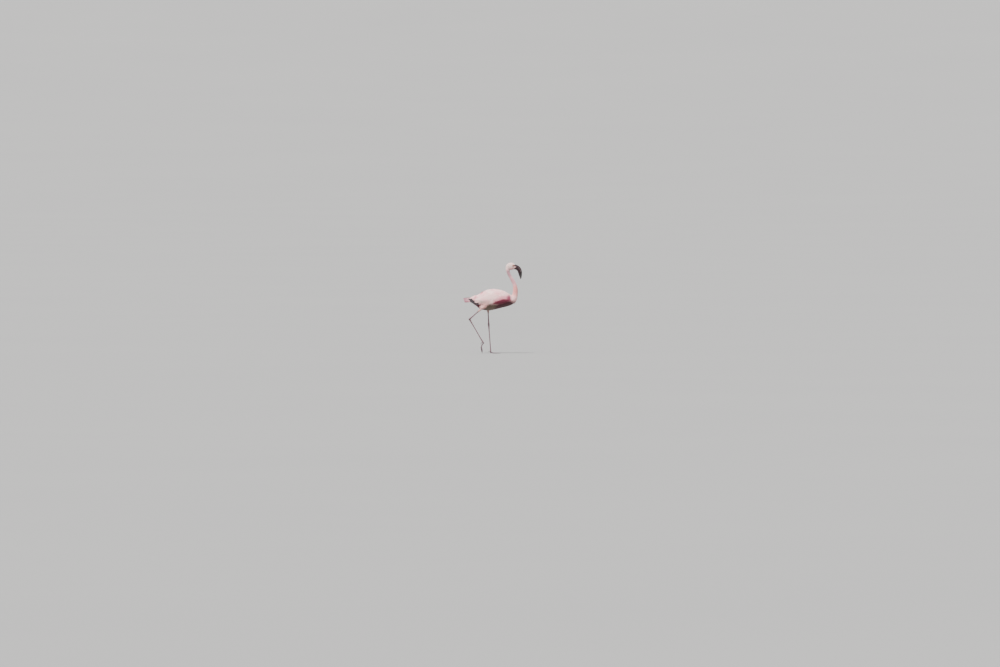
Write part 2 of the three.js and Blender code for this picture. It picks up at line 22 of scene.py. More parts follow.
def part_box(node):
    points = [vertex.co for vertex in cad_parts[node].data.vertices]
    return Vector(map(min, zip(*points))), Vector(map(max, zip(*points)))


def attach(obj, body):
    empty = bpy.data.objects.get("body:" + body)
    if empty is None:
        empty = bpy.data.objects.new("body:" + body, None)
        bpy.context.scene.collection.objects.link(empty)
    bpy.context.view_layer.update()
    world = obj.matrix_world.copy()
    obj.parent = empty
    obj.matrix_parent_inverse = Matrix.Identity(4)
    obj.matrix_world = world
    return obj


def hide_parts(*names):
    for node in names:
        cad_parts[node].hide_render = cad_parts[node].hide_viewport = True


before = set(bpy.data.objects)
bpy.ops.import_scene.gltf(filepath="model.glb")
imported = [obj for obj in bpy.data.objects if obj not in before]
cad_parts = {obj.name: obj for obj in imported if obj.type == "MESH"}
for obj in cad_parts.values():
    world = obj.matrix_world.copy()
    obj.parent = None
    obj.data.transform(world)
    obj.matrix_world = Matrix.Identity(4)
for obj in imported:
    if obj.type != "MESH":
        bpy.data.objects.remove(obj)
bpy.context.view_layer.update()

MM = 0.001
BODY = "root"
SIDES = (("left", 1), ("right", -1))
LOG = logging.getLogger("flamingo")


class Slot(Enum):
    """The record's material slots."""

    PLUMAGE = "plumage"
    SKIN = "skin"
    FLIGHT = "flight_feathers"
    BILL = "bill"
    CLAWS = "claws"
    EYES = "eyes"


class Region(Enum):
    """The parts of the body that carry a coat of their own size of feather."""

    HEAD = "head"
    NECK = "neck"
    TRUNK = "trunk"
    WING_LEFT = "wing_left"
    WING_RIGHT = "wing_right"
    THIGH_LEFT = "thigh_left"
    THIGH_RIGHT = "thigh_right"
    BARE = "bare"


def mm(*values: float) -> np.ndarray:
    """Millimetres of the row frame as an array in metres."""
    return np.array(values, float) * MM


def linear(tint: str) -> tuple[float, float, float, float]:
    """A colour written as six hex digits, as the linear values that a shader takes."""
    levels = [int(tint[i : i + 2], 16) / 255 for i in (0, 2, 4)]
    channels = [v / 12.92 if v <= 0.04045 else ((v + 0.055) / 1.055) ** 2.4 for v in levels]
    return (channels[0], channels[1], channels[2], 1.0)


def smooth_step(low: float, high: float, value: np.ndarray) -> np.ndarray:
    """0 below low and 1 above high, with a soft change between them."""
    t = np.clip((value - low) / (high - low), 0, 1)
    return t * t * (3 - 2 * t)


def unit(vectors: np.ndarray) -> np.ndarray:
    """The same directions with a length of one."""
    return vectors / np.maximum(np.linalg.norm(vectors, axis=-1, keepdims=True), 1e-12)


def smooth_curve(at: np.ndarray, values: np.ndarray, fine: np.ndarray) -> np.ndarray:
    """A smooth curve through given values.

    Args:
        at: where the values are given, rising.
        values: a number or a row for each of them.
        fine: where the curve is wanted.

    Returns:
        The curve's value at each wanted place.
    """
    flat = values.reshape(len(values), -1)
    slopes = np.gradient(flat, at, axis=0)
    k = np.clip(np.searchsorted(at, fine, "right") - 1, 0, len(at) - 2)
    step = (at[k + 1] - at[k])[:, None]
    u = (fine - at[k])[:, None] / step
    start = flat[k] * (2 * u**3 - 3 * u**2 + 1) + slopes[k] * step * (u**3 - 2 * u**2 + u)
    end = flat[k + 1] * (3 * u**2 - 2 * u**3) + slopes[k + 1] * step * (u**3 - u**2)
    return (start + end).reshape((len(fine),) + values.shape[1:])


def smooth_path(points: np.ndarray, count: int) -> np.ndarray:
    """Evenly spread places on a smooth path through the given points."""
    reach = np.concatenate([[0], np.cumsum(np.linalg.norm(np.diff(points, axis=0), axis=1))])
    return smooth_curve(reach, points, np.linspace(0, reach[-1], count))


# Meshes ------------------------------------------------------------------------------------------------------


def new_piece(name: str, mesh: bpy.types.Mesh) -> bpy.types.Object:
    """Links a finished mesh as an object at the origin.

    Args:
        name: the name of the object and of its mesh.
        mesh: the mesh, with its place in its vertices.

    Returns:
        The new object.
    """
    mesh.name = name
    piece = bpy.data.objects.new(name, mesh)
    bpy.context.scene.collection.objects.link(piece)
    return piece


def mesh_from(bm: bmesh.types.BMesh, name: str, smooth: bool = True) -> bpy.types.Mesh:
    """Turns a bmesh into a mesh and frees it.

    Args:
        bm: the bmesh.
        name: the mesh's name.
        smooth: whether its faces are shaded smooth.

    Returns:
        The mesh.
    """
    mesh = bpy.data.meshes.new(name)
    for face in bm.faces:
        face.smooth = smooth
    bm.to_mesh(mesh)
    bm.free()
    return mesh


def copy_of_nodes(names: list[str], extra: list[bpy.types.Mesh] | None = None) -> bmesh.types.BMesh:
    """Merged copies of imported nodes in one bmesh.

    Args:
        names: the nodes' names.
        extra: further closed meshes that are joined in.

    Returns:
        The bmesh with its doubled vertices merged.
    """
    bm = bmesh.new()
    for name in names:
        bm.from_mesh(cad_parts[name].data)
    bmesh.ops.remove_doubles(bm, verts=bm.verts, dist=0.01 * MM)
    for mesh in extra or []:
        bm.from_mesh(mesh)
    return bm


def coordinates(mesh: bpy.types.Mesh) -> np.ndarray:
    """The vertices of a mesh as rows."""
    flat = np.empty(len(mesh.vertices) * 3, np.float32)
    mesh.vertices.foreach_get("co", flat)
    return flat.reshape(-1, 3).astype(float)


def set_coordinates(mesh: bpy.types.Mesh, points: np.ndarray) -> None:
    """Moves the vertices of a mesh to the given rows."""
    mesh.vertices.foreach_set("co", points.astype(np.float32).ravel())
    mesh.update()


def normals(mesh: bpy.types.Mesh) -> np.ndarray:
    """The vertex normals of a mesh as rows."""
    flat = np.empty(len(mesh.vertices) * 3, np.float32)
    mesh.vertex_normals.foreach_get("vector", flat)
    return flat.reshape(-1, 3).astype(float)


def with_modifiers(mesh: bpy.types.Mesh, steps: list[tuple[str, dict[str, object]]]) -> bpy.types.Mesh:
    """Runs modifiers over a mesh and keeps their result.

    Args:
        mesh: the mesh to start from, which is used up.
        steps: each modifier's type with the values of its properties.

    Returns:
        The finished mesh.
    """
    holder = new_piece("holder", mesh)
    for kind, values in steps:
        modifier = holder.modifiers.new(kind.lower(), kind)
        for key, value in values.items():
            setattr(modifier, key, value)
    graph = bpy.context.evaluated_depsgraph_get()
    result = bpy.data.meshes.new_from_object(holder.evaluated_get(graph))
    bpy.data.objects.remove(holder)
    bpy.data.meshes.remove(mesh)
    return result


def remeshed(mesh: bpy.types.Mesh, voxel: float, rounds: int) -> bpy.types.Mesh:
    """One even closed surface round a set of closed solids.

    Args:
        mesh: the solids.
        voxel: the size of the new faces.
        rounds: how many times the result is smoothed.

    Returns:
        The new mesh.
    """
    steps = [
        ("REMESH", {"mode": "VOXEL", "voxel_size": voxel, "adaptivity": 0.0, "use_smooth_shade": True}),
        ("SMOOTH", {"factor": 0.5, "iterations": rounds}),
    ]
    return with_modifiers(mesh, steps)


def united(first: bpy.types.Mesh, second: bpy.types.Mesh) -> bpy.types.Mesh:
    """The union of two closed meshes, both of which are used up."""
    other = new_piece("operand", second)
    values = {"operation": "UNION", "object": other, "solver": "MANIFOLD"}
    result = with_modifiers(first, [("BOOLEAN", values)])
    bpy.data.objects.remove(other)
    return result


# Lines through the body --------------------------------------------------------------------------------------


@dataclass
class Line:
    """A smooth line through a part of the body, along which its feathers lie."""

    points: np.ndarray
    samples: np.ndarray = field(init=False)
    tangents: np.ndarray = field(init=False)
    reach: np.ndarray = field(init=False)

    def __post_init__(self) -> None:
        """Samples the line evenly between its points."""
        steps = np.linalg.norm(np.diff(self.points, axis=0), axis=1)
        at = np.concatenate([[0], np.cumsum(steps)])
        fine = np.linspace(0, at[-1], max(12, int(at[-1] / (6 * MM))))
        raw = np.stack([np.interp(fine, at, self.points[:, k]) for k in range(3)], axis=1)
        for _ in range(3):
            raw[1:-1] = (raw[:-2] + 2 * raw[1:-1] + raw[2:]) / 4
        self.samples = raw
        self.tangents = unit(np.gradient(raw, axis=0))
        self.reach = fine / at[-1]

    def nearest(self, points: np.ndarray) -> np.ndarray:
        """The index of the sample that is nearest to each point."""
        gaps = np.linalg.norm(points[:, None, :] - self.samples[None, :, :], axis=2)
        return gaps.argmin(axis=1)

    def flow(self, points: np.ndarray, spread: float) -> np.ndarray:
        """The line's direction near each point, blended over a distance.

        Args:
            points: the places, as rows.
            spread: the distance over which directions blend.

        Returns:
            One direction for each place.
        """
        result = np.empty_like(points)
        for start in range(0, len(points), 4000):
            part = slice(start, start + 4000)
            gaps = np.linalg.norm(points[part, None, :] - self.samples[None, :, :], axis=2)
            weights = np.exp(-((gaps - gaps.min(axis=1, keepdims=True)) / spread))
            result[part] = weights @ self.tangents
        return unit(result)

    def unwrap(self, points: np.ndarray) -> np.ndarray:
        """Rolls the surface round the line out flat: the angle round the line, and the way along it.

        Args:
            points: places on the surface.

        Returns:
            Two numbers from 0 to 1 for each place.
        """
        index = self.nearest(points)
        gap = points - self.samples[index]
        tangent = self.tangents[index]
        across = np.tile([0.0, 1.0, 0.0], (len(points), 1))
        upward = np.cross(tangent, across)
        angle = np.arctan2((gap * across).sum(1), (gap * upward).sum(1))
        extra = (gap * tangent).sum(1) * 0.5
        length = np.linalg.norm(np.diff(self.samples, axis=0), axis=1).sum()
        return np.stack([angle / math.tau + 0.5, np.clip(self.reach[index] + extra / length, 0, 1)], axis=1)


def side_line(*points: tuple[float, float, float]) -> Line:
    """A line through points given in millimetres."""
    return Line(np.array(points, float) * MM)


@dataclass
class BodyPlan:
    """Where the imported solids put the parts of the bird."""

    eye_left: Vector = field(init=False)
    eye_right: Vector = field(init=False)
    eye_radius: float = field(init=False)
    bill_base: tuple[tuple[float, float], tuple[float, float]] = ((191.9, 766), (179.9, 722))
    spine: Line = field(init=False)
    legs: dict[str, Line] = field(init=False)

    def __post_init__(self) -> None:
        """Reads the places from the frame."""
        low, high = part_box("eye_left")
        self.eye_left = (low + high) / 2
        self.eye_radius = (high.x - low.x) / 2
        low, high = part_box("eye_right")
        self.eye_right = (low + high) / 2
        self.spine = side_line(
            (212, 0, 734), (190, 0, 749), (165, 0, 757), (142, 0, 752), (130, 0, 731), (130, 0, 704),
            (141, 0, 676), (160, 0, 643), (179, 0, 610), (190, 0, 578), (194, 0, 547), (191, 0, 517),
            (176, 0, 492), (140, 0, 474), (90, 0, 468), (20, 0, 466), (-60, 0, 462), (-140, 0, 458),
            (-200, 0, 460), (-250, 0, 458),
        )
        self.legs = {
            "left": side_line((-44, 50, 470), (-43, 47, 400), (-40, 38, 330), (-36, 22, 247), (-36, 22, 180)),
            "right": side_line((0, -54, 462), (-60, -50, 410), (-130, -46, 350), (-201, -42, 295)),
        }


    def bare_face(self, points: np.ndarray) -> np.ndarray:
        """The bare skin round the eyes, before them and at the base of the bill.

        Args:
            points: places on the head.

        Returns:
            1 where the skin is bare and 0 where feathers grow, with a narrow change between them.
        """
        bare = np.zeros(len(points))
        for eye in (self.eye_left, self.eye_right):
            gap = np.linalg.norm(points - np.array(eye), axis=1)
            bare = np.maximum(bare, 1 - smooth_step(6.9 * MM, 8.3 * MM, gap))
        x, z = points[:, 0] / MM, points[:, 2] / MM
        eye_x, eye_z = self.eye_left.x / MM, self.eye_left.z / MM
        way = (x - eye_x) / (190 - eye_x)
        half = 3.0 + 5.5 * way
        lores = smooth_step(half + 0.8, half - 0.8, np.abs(z - eye_z - 1.5 * way)) * (x > eye_x)
        return np.maximum(bare, lores)


# Shader groups -----------------------------------------------------------------------------------------------


class Nodes:
    """A short way to write the nodes of a material or of a shader group."""

    def __init__(self, tree: bpy.types.NodeTree) -> None:
        """Starts from an empty or a fresh node tree."""
        self.tree = tree

    def add(self, kind: str, links: dict[object, object] | None = None, **values: object) -> bpy.types.Node:
        """Adds one node.

        Args:
            kind: the node's type.
            links: what each input takes, by name or number: another node's output, or a value.
            values: the node's own properties.

        Returns:
            The node.
        """
        node = self.tree.nodes.new(kind)
        for key, value in values.items():
            setattr(node, key, value)
        for key, value in (links or {}).items():
            if isinstance(value, bpy.types.NodeSocket):
                self.tree.links.new(value, node.inputs[key])
            else:
                node.inputs[key].default_value = value
        return node

    def math(self, operation: str, *inputs: object, clamp: bool = False) -> bpy.types.NodeSocket:
        """One step of arithmetic on numbers."""
        links = dict(enumerate(inputs))
        return self.add("ShaderNodeMath", links, operation=operation, use_clamp=clamp).outputs[0]

    def vector(self, operation: str, *inputs: object) -> bpy.types.NodeSocket:
        """One step of arithmetic on vectors, which gives a number for a length or a distance."""
        node = self.add("ShaderNodeVectorMath", dict(enumerate(inputs)), operation=operation)
        return node.outputs["Value" if operation in ("LENGTH", "DISTANCE", "DOT_PRODUCT") else "Vector"]

    def fade(self, value: object, low: float, high: float, to_low: float = 0, to_high: float = 1) -> object:
        """A soft change from one number to another while the value goes from low to high."""
        links = {"Value": value, "From Min": low, "From Max": high, "To Min": to_low, "To Max": to_high}
        node = self.add("ShaderNodeMapRange", links, interpolation_type="SMOOTHSTEP")
        return node.outputs["Result"]

    def mix(self, share: object, first: object, second: object) -> bpy.types.NodeSocket:
        """A blend of two colours."""
        node = self.add("ShaderNodeMix", data_type="RGBA", clamp_factor=True)
        for number, value in ((0, share), (6, first), (7, second)):
            if isinstance(value, bpy.types.NodeSocket):
                self.tree.links.new(value, node.inputs[number])
            else:
                node.inputs[number].default_value = value
        return node.outputs[2]

    def noise(self, place: object, grain: float, detail: float = 3, rough: float = 0.55) -> object:
        """Soft noise whose spots are about the given size across."""
        links = {"Vector": place, "Scale": 1 / grain, "Detail": detail, "Roughness": rough}
        return self.add("ShaderNodeTexNoise", links).outputs["Fac"]


def group_tree(name: str, inputs: dict[str, tuple[str, object]], outputs: dict[str, str]) -> tuple[Nodes, object, object]:
    """Starts a shader group.

    Args:
        name: the group's name.
        inputs: each input's socket type and value.
        outputs: each output's socket type.

    Returns:
        The helper for its nodes, its input node and its output node.
    """
    tree = bpy.data.node_groups.new(name, "ShaderNodeTree")
    for label, (kind, value) in inputs.items():
        socket = tree.interface.new_socket(label, in_out="INPUT", socket_type=kind)
        if value is not None:
            socket.default_value = value
    for label, kind in outputs.items():
        tree.interface.new_socket(label, in_out="OUTPUT", socket_type=kind)
    nodes = Nodes(tree)
    return nodes, nodes.add("NodeGroupInput"), nodes.add("NodeGroupOutput")


FLOAT = "NodeSocketFloat"
VECTOR = "NodeSocketVector"
COLOUR = "NodeSocketColor"


@dataclass(frozen=True)
class Mark:
    """One soft-edged patch of colour: its place in millimetres, and its turn in degrees about the cross axis."""

    tint: str
    centre: tuple[float, float, float]
    radii: tuple[float, float, float]
    strength: float = 1.0
    soft: float = 0.6
    turn: float = 0.0
    both_sides: bool = True


@dataclass(frozen=True)
class PlumageTintsAndShade:
    """The colours of the plumage and where they lie, in millimetres of the row frame, with painted shade under the body
    and along the wing's lower rear edge.
    """

    ground: str = "FAD3CF"
    cloud: str = "EA9FA6"
    marks: tuple[Mark, ...] = (
        Mark("E08E9C", (95, 70, 478), (110, 90, 42), 0.75, 0.9, 14),
        Mark("E79F9B", (196, 0, 520), (60, 60, 50), 0.85, 0.7),
        Mark("E2938F", (200, 0, 560), (60, 60, 58), 0.95, 0.7),
        Mark("CC939B", (168, 0, 625), (60, 60, 56), 0.9, 0.7),
        Mark("B0828B", (138, 0, 690), (52, 60, 56), 0.9, 0.7),
        Mark("F6D5CE", (146, 0, 762), (78, 60, 40), 0.95, 0.5),
        # Painted shade: olive-grey darkening under the belly, which also reaches the inner thighs.
        Mark("64554A", (-30, 0, 336), (215, 190, 114), 1.0, 0.28, 6),
        # Lower breast: a crimson wash of the plumage, deepened to near-black maroon by painted shade.
        Mark("452228", (120, 0, 388), (116, 190, 83), 1.0, 0.3, 14),
        Mark("DE8E9B", (84, 60, 470), (96, 90, 28), 0.8, 0.9, 14),
        Mark("6E263A", (80, 40, 447), (94, 100, 25), 1.0, 0.4, 12),
        Mark("86304C", (143, 40, 476), (30, 60, 36), 0.95, 0.8),
        # Flank and under-tail: their own crimson, deepened by painted shade.
        Mark("5A1A2B", (-100, 0, 398), (62, 120, 40), 1.0, 0.45, -26),
        Mark("C04A66", (-124, 50, 486), (28, 80, 28), 0.8, 0.8, 10),
        Mark("7A3A4A", (-152, 50, 457), (20, 80, 10), 0.7, 0.8, 20),
        Mark("C9506C", (-84, 30, 524), (19, 30, 6), 0.7, 0.9, 24),
        Mark("CC6479", (-50, 26, 541), (19, 26, 5), 0.55, 0.9, 14),
        Mark("D0748A", (10, 22, 549), (17, 24, 4), 0.45, 0.9, 0),
        # Painted shade: olive-grey along the wing's lower rear edge above the thigh.
        Mark("A08A7F", (-70, 70, 447), (66, 60, 17), 0.8, 0.9, -4),
        Mark("DFADA8", (-66, -70, 410), (104, 46, 23), 1.0, 0.45, 41.4, False),
        Mark("D5A6A3", (-41, 60, 380), (24, 46, 52), 0.95, 0.6, 0, False),
    )


def build_plumage_group(tints: PlumageTintsAndShade) -> bpy.types.NodeTree:
    """The colours of the plumage at a place on the body, painted shade included, shared by the skin and every coat
    piece.

    Args:
        tints: the ground colour and the marks.

    Returns:
        The shader group, with the input Place and the outputs Colour and Shade.
    """
    nodes, start, end = group_tree(
        "PlumagePatternAndShade", {"Place": (VECTOR, None)}, {"Colour": COLOUR, "Shade": FLOAT}
    )
    place = start.outputs["Place"]
    parts = nodes.add("ShaderNodeSeparateXYZ", {0: place})
    one_side = nodes.add(
        "ShaderNodeCombineXYZ",
        {0: parts.outputs[0], 1: nodes.math("ABSOLUTE", parts.outputs[1]), 2: parts.outputs[2]},
    )
    wander = nodes.add("ShaderNodeTexNoise", {"Vector": place, "Scale": 1 / 0.03, "Detail": 2.0})
    drift = nodes.vector("SCALE", nodes.vector("SUBTRACT", wander.outputs["Color"], (0.5, 0.5, 0.5)))
    drift.node.inputs["Scale"].default_value = 16 * MM
    spot = nodes.vector("ADD", one_side.outputs[0], drift)
    free_spot = nodes.vector("ADD", place, drift)
    patches = nodes.noise(place, 0.045)
    colour: object = nodes.mix(nodes.fade(patches, 0.4, 0.7, 0, 0.6), linear(tints.ground), linear(tints.cloud))
    for mark in tints.marks:
        offset = nodes.vector("SUBTRACT", spot if mark.both_sides else free_spot, tuple(mm(*mark.centre)))
        turned = nodes.add(
            "ShaderNodeVectorRotate", {"Vector": offset, "Angle": math.radians(mark.turn)}, rotation_type="Y_AXIS"
        )
        reach = nodes.vector("LENGTH", nodes.vector("DIVIDE", turned.outputs[0], tuple(mm(*mark.radii))))
        share = nodes.fade(reach, 1 - mark.soft, 1, mark.strength, 0)
        colour = nodes.mix(share, colour, linear(mark.tint))
    nodes.tree.links.new(colour, end.inputs["Colour"])
    nodes.tree.links.new(patches, end.inputs["Shade"])
    return nodes.tree


def build_vane_group() -> bpy.types.NodeTree:
    """The shaft and the barbs of a feather, read from its own map.

    Returns:
        The shader group: Shaft and Barbs as masks, and Relief as a height.
    """
    nodes, start, end = group_tree(
        "FeatherVane",
        {"Map": (VECTOR, None), "Count": (FLOAT, 60.0), "Slant": (FLOAT, 0.5), "Shaft Width": (FLOAT, 0.05)},
        {"Shaft": FLOAT, "Barbs": FLOAT, "Relief": FLOAT, "Tip": FLOAT},
    )
    parts = nodes.add("ShaderNodeSeparateXYZ", {0: start.outputs["Map"]})
    across = nodes.math("ABSOLUTE", nodes.math("MULTIPLY_ADD", parts.outputs[0], 2.0, -1.0))
    shaft = nodes.math("SUBTRACT", 1.0, nodes.math("DIVIDE", across, start.outputs["Shaft Width"]), clamp=True)
    way = nodes.math("SUBTRACT", parts.outputs[1], nodes.math("MULTIPLY", across, start.outputs["Slant"]))
    ripple = nodes.math("SINE", nodes.math("MULTIPLY", way, start.outputs["Count"]))
    barbs = nodes.math("MULTIPLY_ADD", ripple, 0.5, 0.5)
    relief = nodes.math("ADD", nodes.math("MULTIPLY", barbs, 0.35), nodes.math("MULTIPLY", shaft, 0.9))
    links = nodes.tree.links
    links.new(shaft, end.inputs["Shaft"])
    links.new(barbs, end.inputs["Barbs"])
    links.new(relief, end.inputs["Relief"])
    links.new(parts.outputs[1], end.inputs["Tip"])
    return nodes.tree


def build_scale_group() -> bpy.types.NodeTree:
    """Small plates such as cover the legs and the webs.

    Returns:
        The shader group: Plates as a tone for each plate, Seams as a mask and Relief as a height.
    """
    nodes, start, end = group_tree(
        "SkinPlates",
        {"Place": (VECTOR, None), "Plate": (FLOAT, 400.0)},
        {"Plates": FLOAT, "Seams": FLOAT, "Relief": FLOAT},
    )
    links = {"Vector": start.outputs["Place"], "Scale": start.outputs["Plate"]}
    cells = nodes.add("ShaderNodeTexVoronoi", links)
    edges = nodes.add("ShaderNodeTexVoronoi", links, feature="DISTANCE_TO_EDGE")
    seams = nodes.fade(edges.outputs["Distance"], 0.0, 0.14, 1, 0)
    tone = nodes.add("ShaderNodeSeparateXYZ", {0: cells.outputs["Color"]}).outputs[0]
    nodes.tree.links.new(tone, end.inputs["Plates"])
    nodes.tree.links.new(seams, end.inputs["Seams"])
    nodes.tree.links.new(nodes.math("SUBTRACT", 1.0, seams), end.inputs["Relief"])
    return nodes.tree


@dataclass
class Palette:
    """The shader groups that the finishes share."""

    plumage: bpy.types.NodeTree = field(init=False)
    vane: bpy.types.NodeTree = field(init=False)
    plates: bpy.types.NodeTree = field(init=False)

    def __post_init__(self) -> None:
        """Builds each group once."""
        self.plumage = build_plumage_group(PlumageTintsAndShade())
        self.vane = build_vane_group()
        self.plates = build_scale_group()


def new_material(name: str, roughness: float) -> tuple[bpy.types.Material, Nodes, bpy.types.Node]:
    """A material with its Principled shader.

    Args:
        name: the material's name.
        roughness: the shader's own roughness.

    Returns:
        The material, the helper for its nodes and the shader node.
    """
    material = bpy.data.materials.new(name)
    material.use_nodes = True
    shader = material.node_tree.nodes["Principled BSDF"]
    shader.inputs["Roughness"].default_value = roughness
    return material, Nodes(material.node_tree), shader


def wire(nodes: Nodes, shader: bpy.types.Node, links: dict[str, object]) -> None:
    """Links or sets inputs of the shader by name."""
    for key, value in links.items():
        if isinstance(value, bpy.types.NodeSocket):
            nodes.tree.links.new(value, shader.inputs[key])
        else:
            shader.inputs[key].default_value = value


@dataclass(frozen=True)
class PlumageFinish:
    """Soft vanes that take their colour from the place of their root."""

    name: str
    barbs: float = 70.0
    slant: float = 0.55
    relief: float = 0.25 * MM
    contrast: float = 0.12

    def build(self, palette: Palette) -> bpy.types.Material:
        """Builds the material.

        Args:
            palette: the shared shader groups.

        Returns:
            The material.
        """
        material, nodes, shader = new_material(self.name, 0.75)
        here = nodes.add("ShaderNodeTexCoord").outputs["Object"]
        root = nodes.add("ShaderNodeAttribute", attribute_name="root").outputs["Vector"]
        tone = nodes.add("ShaderNodeAttribute", attribute_name="tone").outputs["Fac"]
        blend = nodes.add("ShaderNodeMix", data_type="VECTOR")
        blend.inputs[0].default_value = 0.65
        nodes.tree.links.new(here, blend.inputs[4])
        nodes.tree.links.new(root, blend.inputs[5])
        pattern = nodes.add("ShaderNodeGroup", node_tree=palette.plumage)
        nodes.tree.links.new(blend.outputs[1], pattern.inputs["Place"])
        uv = nodes.add("ShaderNodeUVMap", uv_map="Vane").outputs[0]
        vane = nodes.add("ShaderNodeGroup", node_tree=palette.vane)
        vane.inputs["Count"].default_value = self.barbs
        vane.inputs["Slant"].default_value = self.slant
        nodes.tree.links.new(uv, vane.inputs["Map"])
        colour = pattern.outputs["Colour"]
        deeper = nodes.add("ShaderNodeHueSaturation", {"Saturation": 1.35, "Value": 0.86, "Color": colour})
        root_shade = nodes.fade(vane.outputs["Tip"], 0.15, 0.95, 0.6, 0.0)
        colour = nodes.mix(root_shade, colour, deeper.outputs[0])
        colour = nodes.mix(nodes.math("MULTIPLY", vane.outputs["Barbs"], self.contrast), colour, deeper.outputs[0])
        brightness = nodes.fade(tone, 0, 1, 0.93, 1.05)
        toned = nodes.add("ShaderNodeHueSaturation", {"Value": brightness, "Color": colour})
        bump = nodes.add("ShaderNodeBump", {"Height": vane.outputs["Relief"], "Strength": 0.5, "Distance": self.relief})
        wire(nodes, shader, {
            "Base Color": toned.outputs[0],
            "Normal": bump.outputs[0],
            "Specular IOR Level": 0.25,
            "Sheen Weight": 0.35,
            "Sheen Roughness": 0.5,
            "Sheen Tint": (1.0, 0.93, 0.91, 1.0),
        })
        return material


@dataclass(frozen=True)
class FlightFinish:
    """Firm, glossier vanes of one colour, with a paler root."""

    name: str
    tip: str
    root: str
    edge: str
    change: tuple[float, float] = (0.2, 0.6)

    def build(self, palette: Palette) -> bpy.types.Material:
        """Builds the material.

        Args:
            palette: the shared shader groups.

        Returns:
            The material.
        """
        material, nodes, shader = new_material(self.name, 0.5)
        uv = nodes.add("ShaderNodeUVMap", uv_map="Vane").outputs[0]
        vane = nodes.add("ShaderNodeGroup", node_tree=palette.vane)
        vane.inputs["Count"].default_value = 420.0
        vane.inputs["Slant"].default_value = 0.12
        vane.inputs["Shaft Width"].default_value = 0.07
        nodes.tree.links.new(uv, vane.inputs["Map"])
        tone = nodes.add("ShaderNodeAttribute", attribute_name="tone").outputs["Fac"]
        here = nodes.add("ShaderNodeTexCoord").outputs["Object"]
        cloudy = nodes.noise(here, 0.012)
        wear = nodes.math("ADD", vane.outputs["Tip"], nodes.math("MULTIPLY_ADD", cloudy, 0.3, -0.15))
        colour = nodes.mix(nodes.fade(wear, *self.change), linear(self.root), linear(self.tip))
        colour = nodes.mix(nodes.fade(vane.outputs["Tip"], 0.93, 1.0, 0, 0.45), colour, linear(self.edge))
        colour = nodes.mix(nodes.math("MULTIPLY", vane.outputs["Barbs"], 0.12), colour, linear(self.edge))
        colour = nodes.mix(nodes.math("MULTIPLY", vane.outputs["Shaft"], 0.5), colour, linear("1A0F10"))
        toned = nodes.add("ShaderNodeHueSaturation", {"Value": nodes.fade(tone, 0, 1, 0.85, 1.15), "Color": colour})
        bump = nodes.add(
            "ShaderNodeBump", {"Height": vane.outputs["Relief"], "Strength": 0.4, "Distance": 0.3 * MM}
        )
        wire(nodes, shader, {"Base Color": toned.outputs[0], "Normal": bump.outputs[0], "Sheen Weight": 0.15})
        return material


@dataclass(frozen=True)
class SkinFinish:
    """Bare legs and face, and under the coat the same markings and painted shade as the plumage."""

    name: str = "flamingo_skin"
    leg: str = "74585F"
    leg_deep: str = "4E3A41"
    joint: str = "3A3033"
    foot: str = "453840"
    face: str = "340E17"

    def build(self, palette: Palette, plan: BodyPlan) -> bpy.types.Material:
        """Builds the material.

        Args:
            palette: the shared shader groups.
            plan: not used.

        Returns:
            The material.
        """
        material, nodes, shader = new_material(self.name, 0.55)
        here = nodes.add("ShaderNodeTexCoord").outputs["Object"]
        pattern = nodes.add("ShaderNodeGroup", {"Place": here}, node_tree=palette.plumage)
        plates = nodes.add("ShaderNodeGroup", {"Place": here, "Plate": 1 / (1.5 * MM)}, node_tree=palette.plates)
        bare = nodes.add("ShaderNodeAttribute", attribute_name="bare").outputs["Fac"]
        joint = nodes.add("ShaderNodeAttribute", attribute_name="joint").outputs["Fac"]
        foot = nodes.add("ShaderNodeAttribute", attribute_name="foot").outputs["Fac"]
        face = nodes.add("ShaderNodeAttribute", attribute_name="face").outputs["Fac"]
        mottled = nodes.noise(here, 0.009)
        leg = nodes.mix(nodes.fade(mottled, 0.35, 0.7), linear(self.leg), linear(self.leg_deep))
        leg = nodes.mix(joint, leg, linear(self.joint))
        leg = nodes.mix(foot, leg, linear(self.foot))
        leg = nodes.mix(nodes.math("MULTIPLY", plates.outputs["Seams"], 0.22), leg, linear("3A1A22"))
        leg = nodes.mix(nodes.math("MULTIPLY", plates.outputs["Plates"], 0.12), leg, linear("D9A0A4"))
        colour = nodes.mix(bare, pattern.outputs["Colour"], leg)
        rim = nodes.noise(here, 0.002)
        face_tint = nodes.mix(nodes.fade(rim, 0.4, 0.65), linear(self.face), linear("62222C"))
        colour = nodes.mix(face, colour, face_tint)
        height = nodes.math("MULTIPLY", plates.outputs["Relief"], bare)
        bump = nodes.add("ShaderNodeBump", {"Height": height, "Strength": 0.55, "Distance": 0.35 * MM})
        wire(nodes, shader, {"Base Color": colour, "Normal": bump.outputs[0], "Specular IOR Level": 0.4})
        return material


